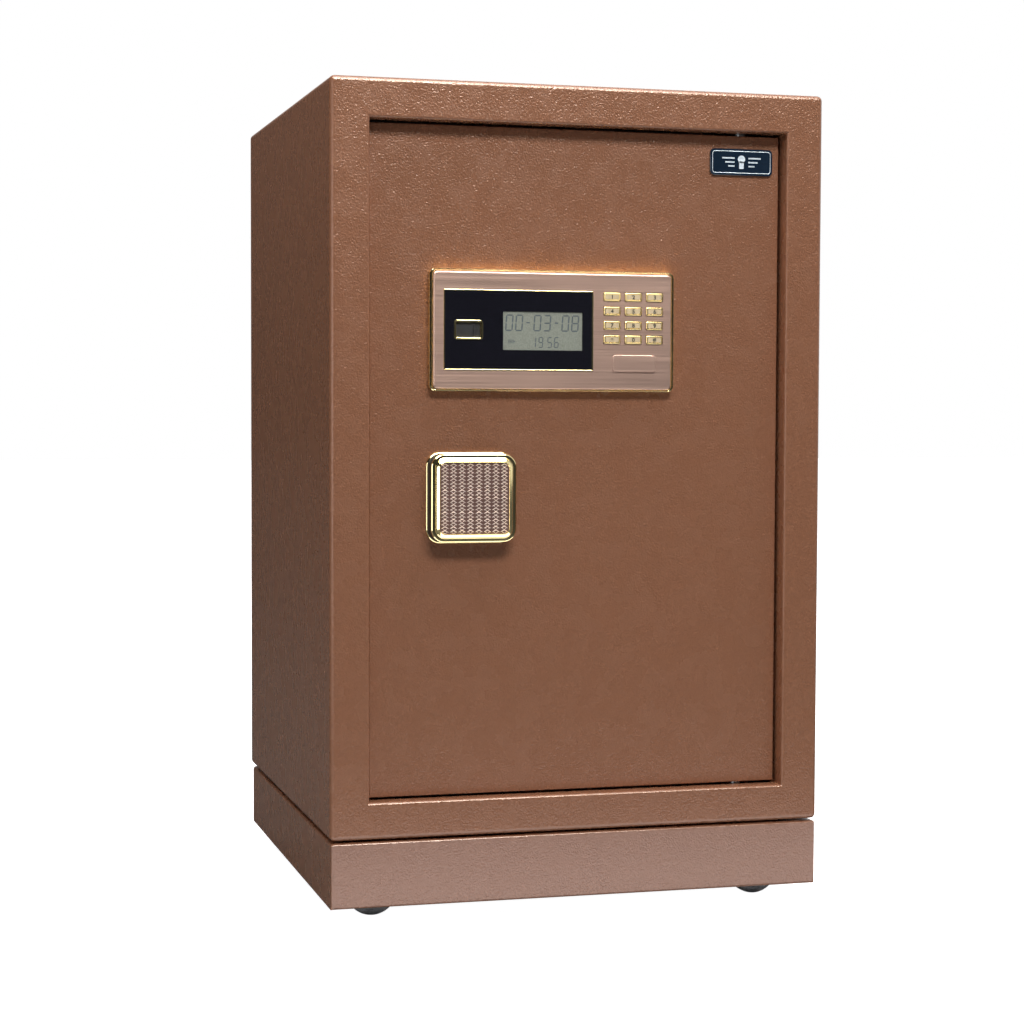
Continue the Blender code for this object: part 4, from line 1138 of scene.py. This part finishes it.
def make_keys():
    """Gold keycaps with a raised rim, a satin field and a printed digit."""
    glyphs = {"star": "*", "hash": "#"}
    width = 0.0130
    height = 0.0062
    for node in KEYS:
        low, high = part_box(node)
        middle = (low + high) / 2
        front = low.y
        shoulder = high.y - 0.0008
        sections = shrunk(high.x - low.x, high.z - low.z,
                          [(0, 0.0012, y) for y in (high.y, shoulder)])
        sections += shrunk(width, height, [
            (0, 0.0010, shoulder), (0, 0.0010, front + 0.0006), (0.0003, 0.0010, front + 0.0002),
            (0.0008, 0.0009, front), (0.0018, 0.0006, front), (0.0021, 0.0005, front + 0.00022),
            (0.0024, 0.0004, front + 0.00022)])
        cap = loft(f"{node}_cap", middle, sections, KEY_GOLD, node, 4, smooth=24.0)
        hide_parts(node)
        field = shrunk(width, height, [
            (0.0025, 0.0004, front + 0.00024), (0.0026, 0.0004, front + 0.00012)])
        loft(f"{node}_field", middle, field, KEY_FACE, node, 3)
        name = node.split("_")[1]
        make_glyph(node, glyphs.get(name, name), Vector((middle.x, front + 0.00010, middle.z)))


def make_glyph(node, text, place):
    """A key's printed character, thin, facing the front and centred on a point."""
    name = f"{node}_print"
    size = 0.0042
    data = bpy.data.curves.new(name, "FONT")
    data.body = text
    data.size = size
    data.extrude = 0.00004
    data.offset = size * 0.035
    data.align_x = "CENTER"
    data.align_y = "CENTER"
    data.resolution_u = 4
    text_object = put(name, data)
    mesh = evaluated_mesh(text_object)
    bpy.data.objects.remove(text_object, do_unlink=True)
    mesh.transform(Matrix.Rotation(math.radians(90), 4, "X"))
    xs = [v.co.x for v in mesh.vertices]
    zs = [v.co.z for v in mesh.vertices]
    off_centre = Vector(((min(xs) + max(xs)) / 2, 0.0, (min(zs) + max(zs)) / 2))
    mesh.transform(Matrix.Translation(place - off_centre))
    bm = bmesh.new()
    bm.from_mesh(mesh)
    bmesh.ops.remove_doubles(bm, verts=bm.verts, dist=1e-6)
    new_piece(name, bm, DIGIT_INK, node)


def make_keyhole_cover():
    """A thin sliding plate, thick at its right end and feathered to the left."""
    low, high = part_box("keyhole_cover")
    width = high.x - low.x
    bm = bmesh.new()
    add_loft(bm, (low + high) / 2, shrunk(width, high.z - low.z, [
        (0, 0.0022, high.y), (0, 0.0022, low.y + 0.00035), (0.0003, 0.0021, low.y + 0.0001),
        (0.0008, 0.0019, low.y)]))
    for vertex in bm.verts:
        share = (vertex.co.x - low.x) / width
        feather = min(1.0, 0.55 + share * 0.9)
        vertex.co.y = high.y - (high.y - vertex.co.y) * feather
    cover = new_piece("keyhole_cover_plate", bm, ROSE, "keyhole_cover", 8.0)
    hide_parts("keyhole_cover")


# ---- nameplate

def make_nameplate():
    """Navy enamel plate with a silver border and a plain keyhole emblem."""
    low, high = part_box("nameplate")
    middle = (low + high) / 2
    width = high.x - low.x
    height = high.z - low.z
    front = low.y
    inside = front + 0.0002
    proud = front - 0.0001
    plate = loft("badge_plate", middle, shrunk(width, height, [
        (0, 0.0036, high.y), (0, 0.0036, inside), (0.0004, 0.0034, front)]), NAVY, smooth=16.0)
    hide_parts("nameplate")
    inset = 0.0032
    frame_ring("badge_silver_border", middle, width - inset, height - inset, 0.0022, 0.00045, proud,
               inside, SILVER)
    emblem = bmesh.new()
    add_turned(emblem, (middle.x, inside, middle.z + 0.0022), (0, -1, 0),
               [(0, 0), (0.0029, 0.0), (0.0029, 0.0003), (0.0, 0.0003)], 32)
    add_loft(emblem, middle - Vector((0.0, 0.0, 0.0022)),
             [(0.0040, 0.0058, 0.0005, inside), (0.0036, 0.0056, 0.0005, proud)], 3)
    half_bar = 0.00055
    for side in (-1, 1):
        for index, length in enumerate((0.0100, 0.0075, 0.0050)):
            z = middle.z + 0.0030 - index * 0.0030
            left, right = sorted((middle.x + side * 0.0056, middle.x + side * (0.0056 + length)))
            add_block(emblem, (left, proud, z - half_bar), (right, inside, z + half_bar))
    new_piece("badge_emblem", emblem, SILVER, "door")


def main():
    bpy.context.scene.view_settings.view_transform = "Standard"
    make_camera()
    make_world()
    make_lights()
    make_floor()
    make_cabinet()
    make_castors()
    make_door()
    make_knob()
    make_panel()
    make_nameplate()


main()
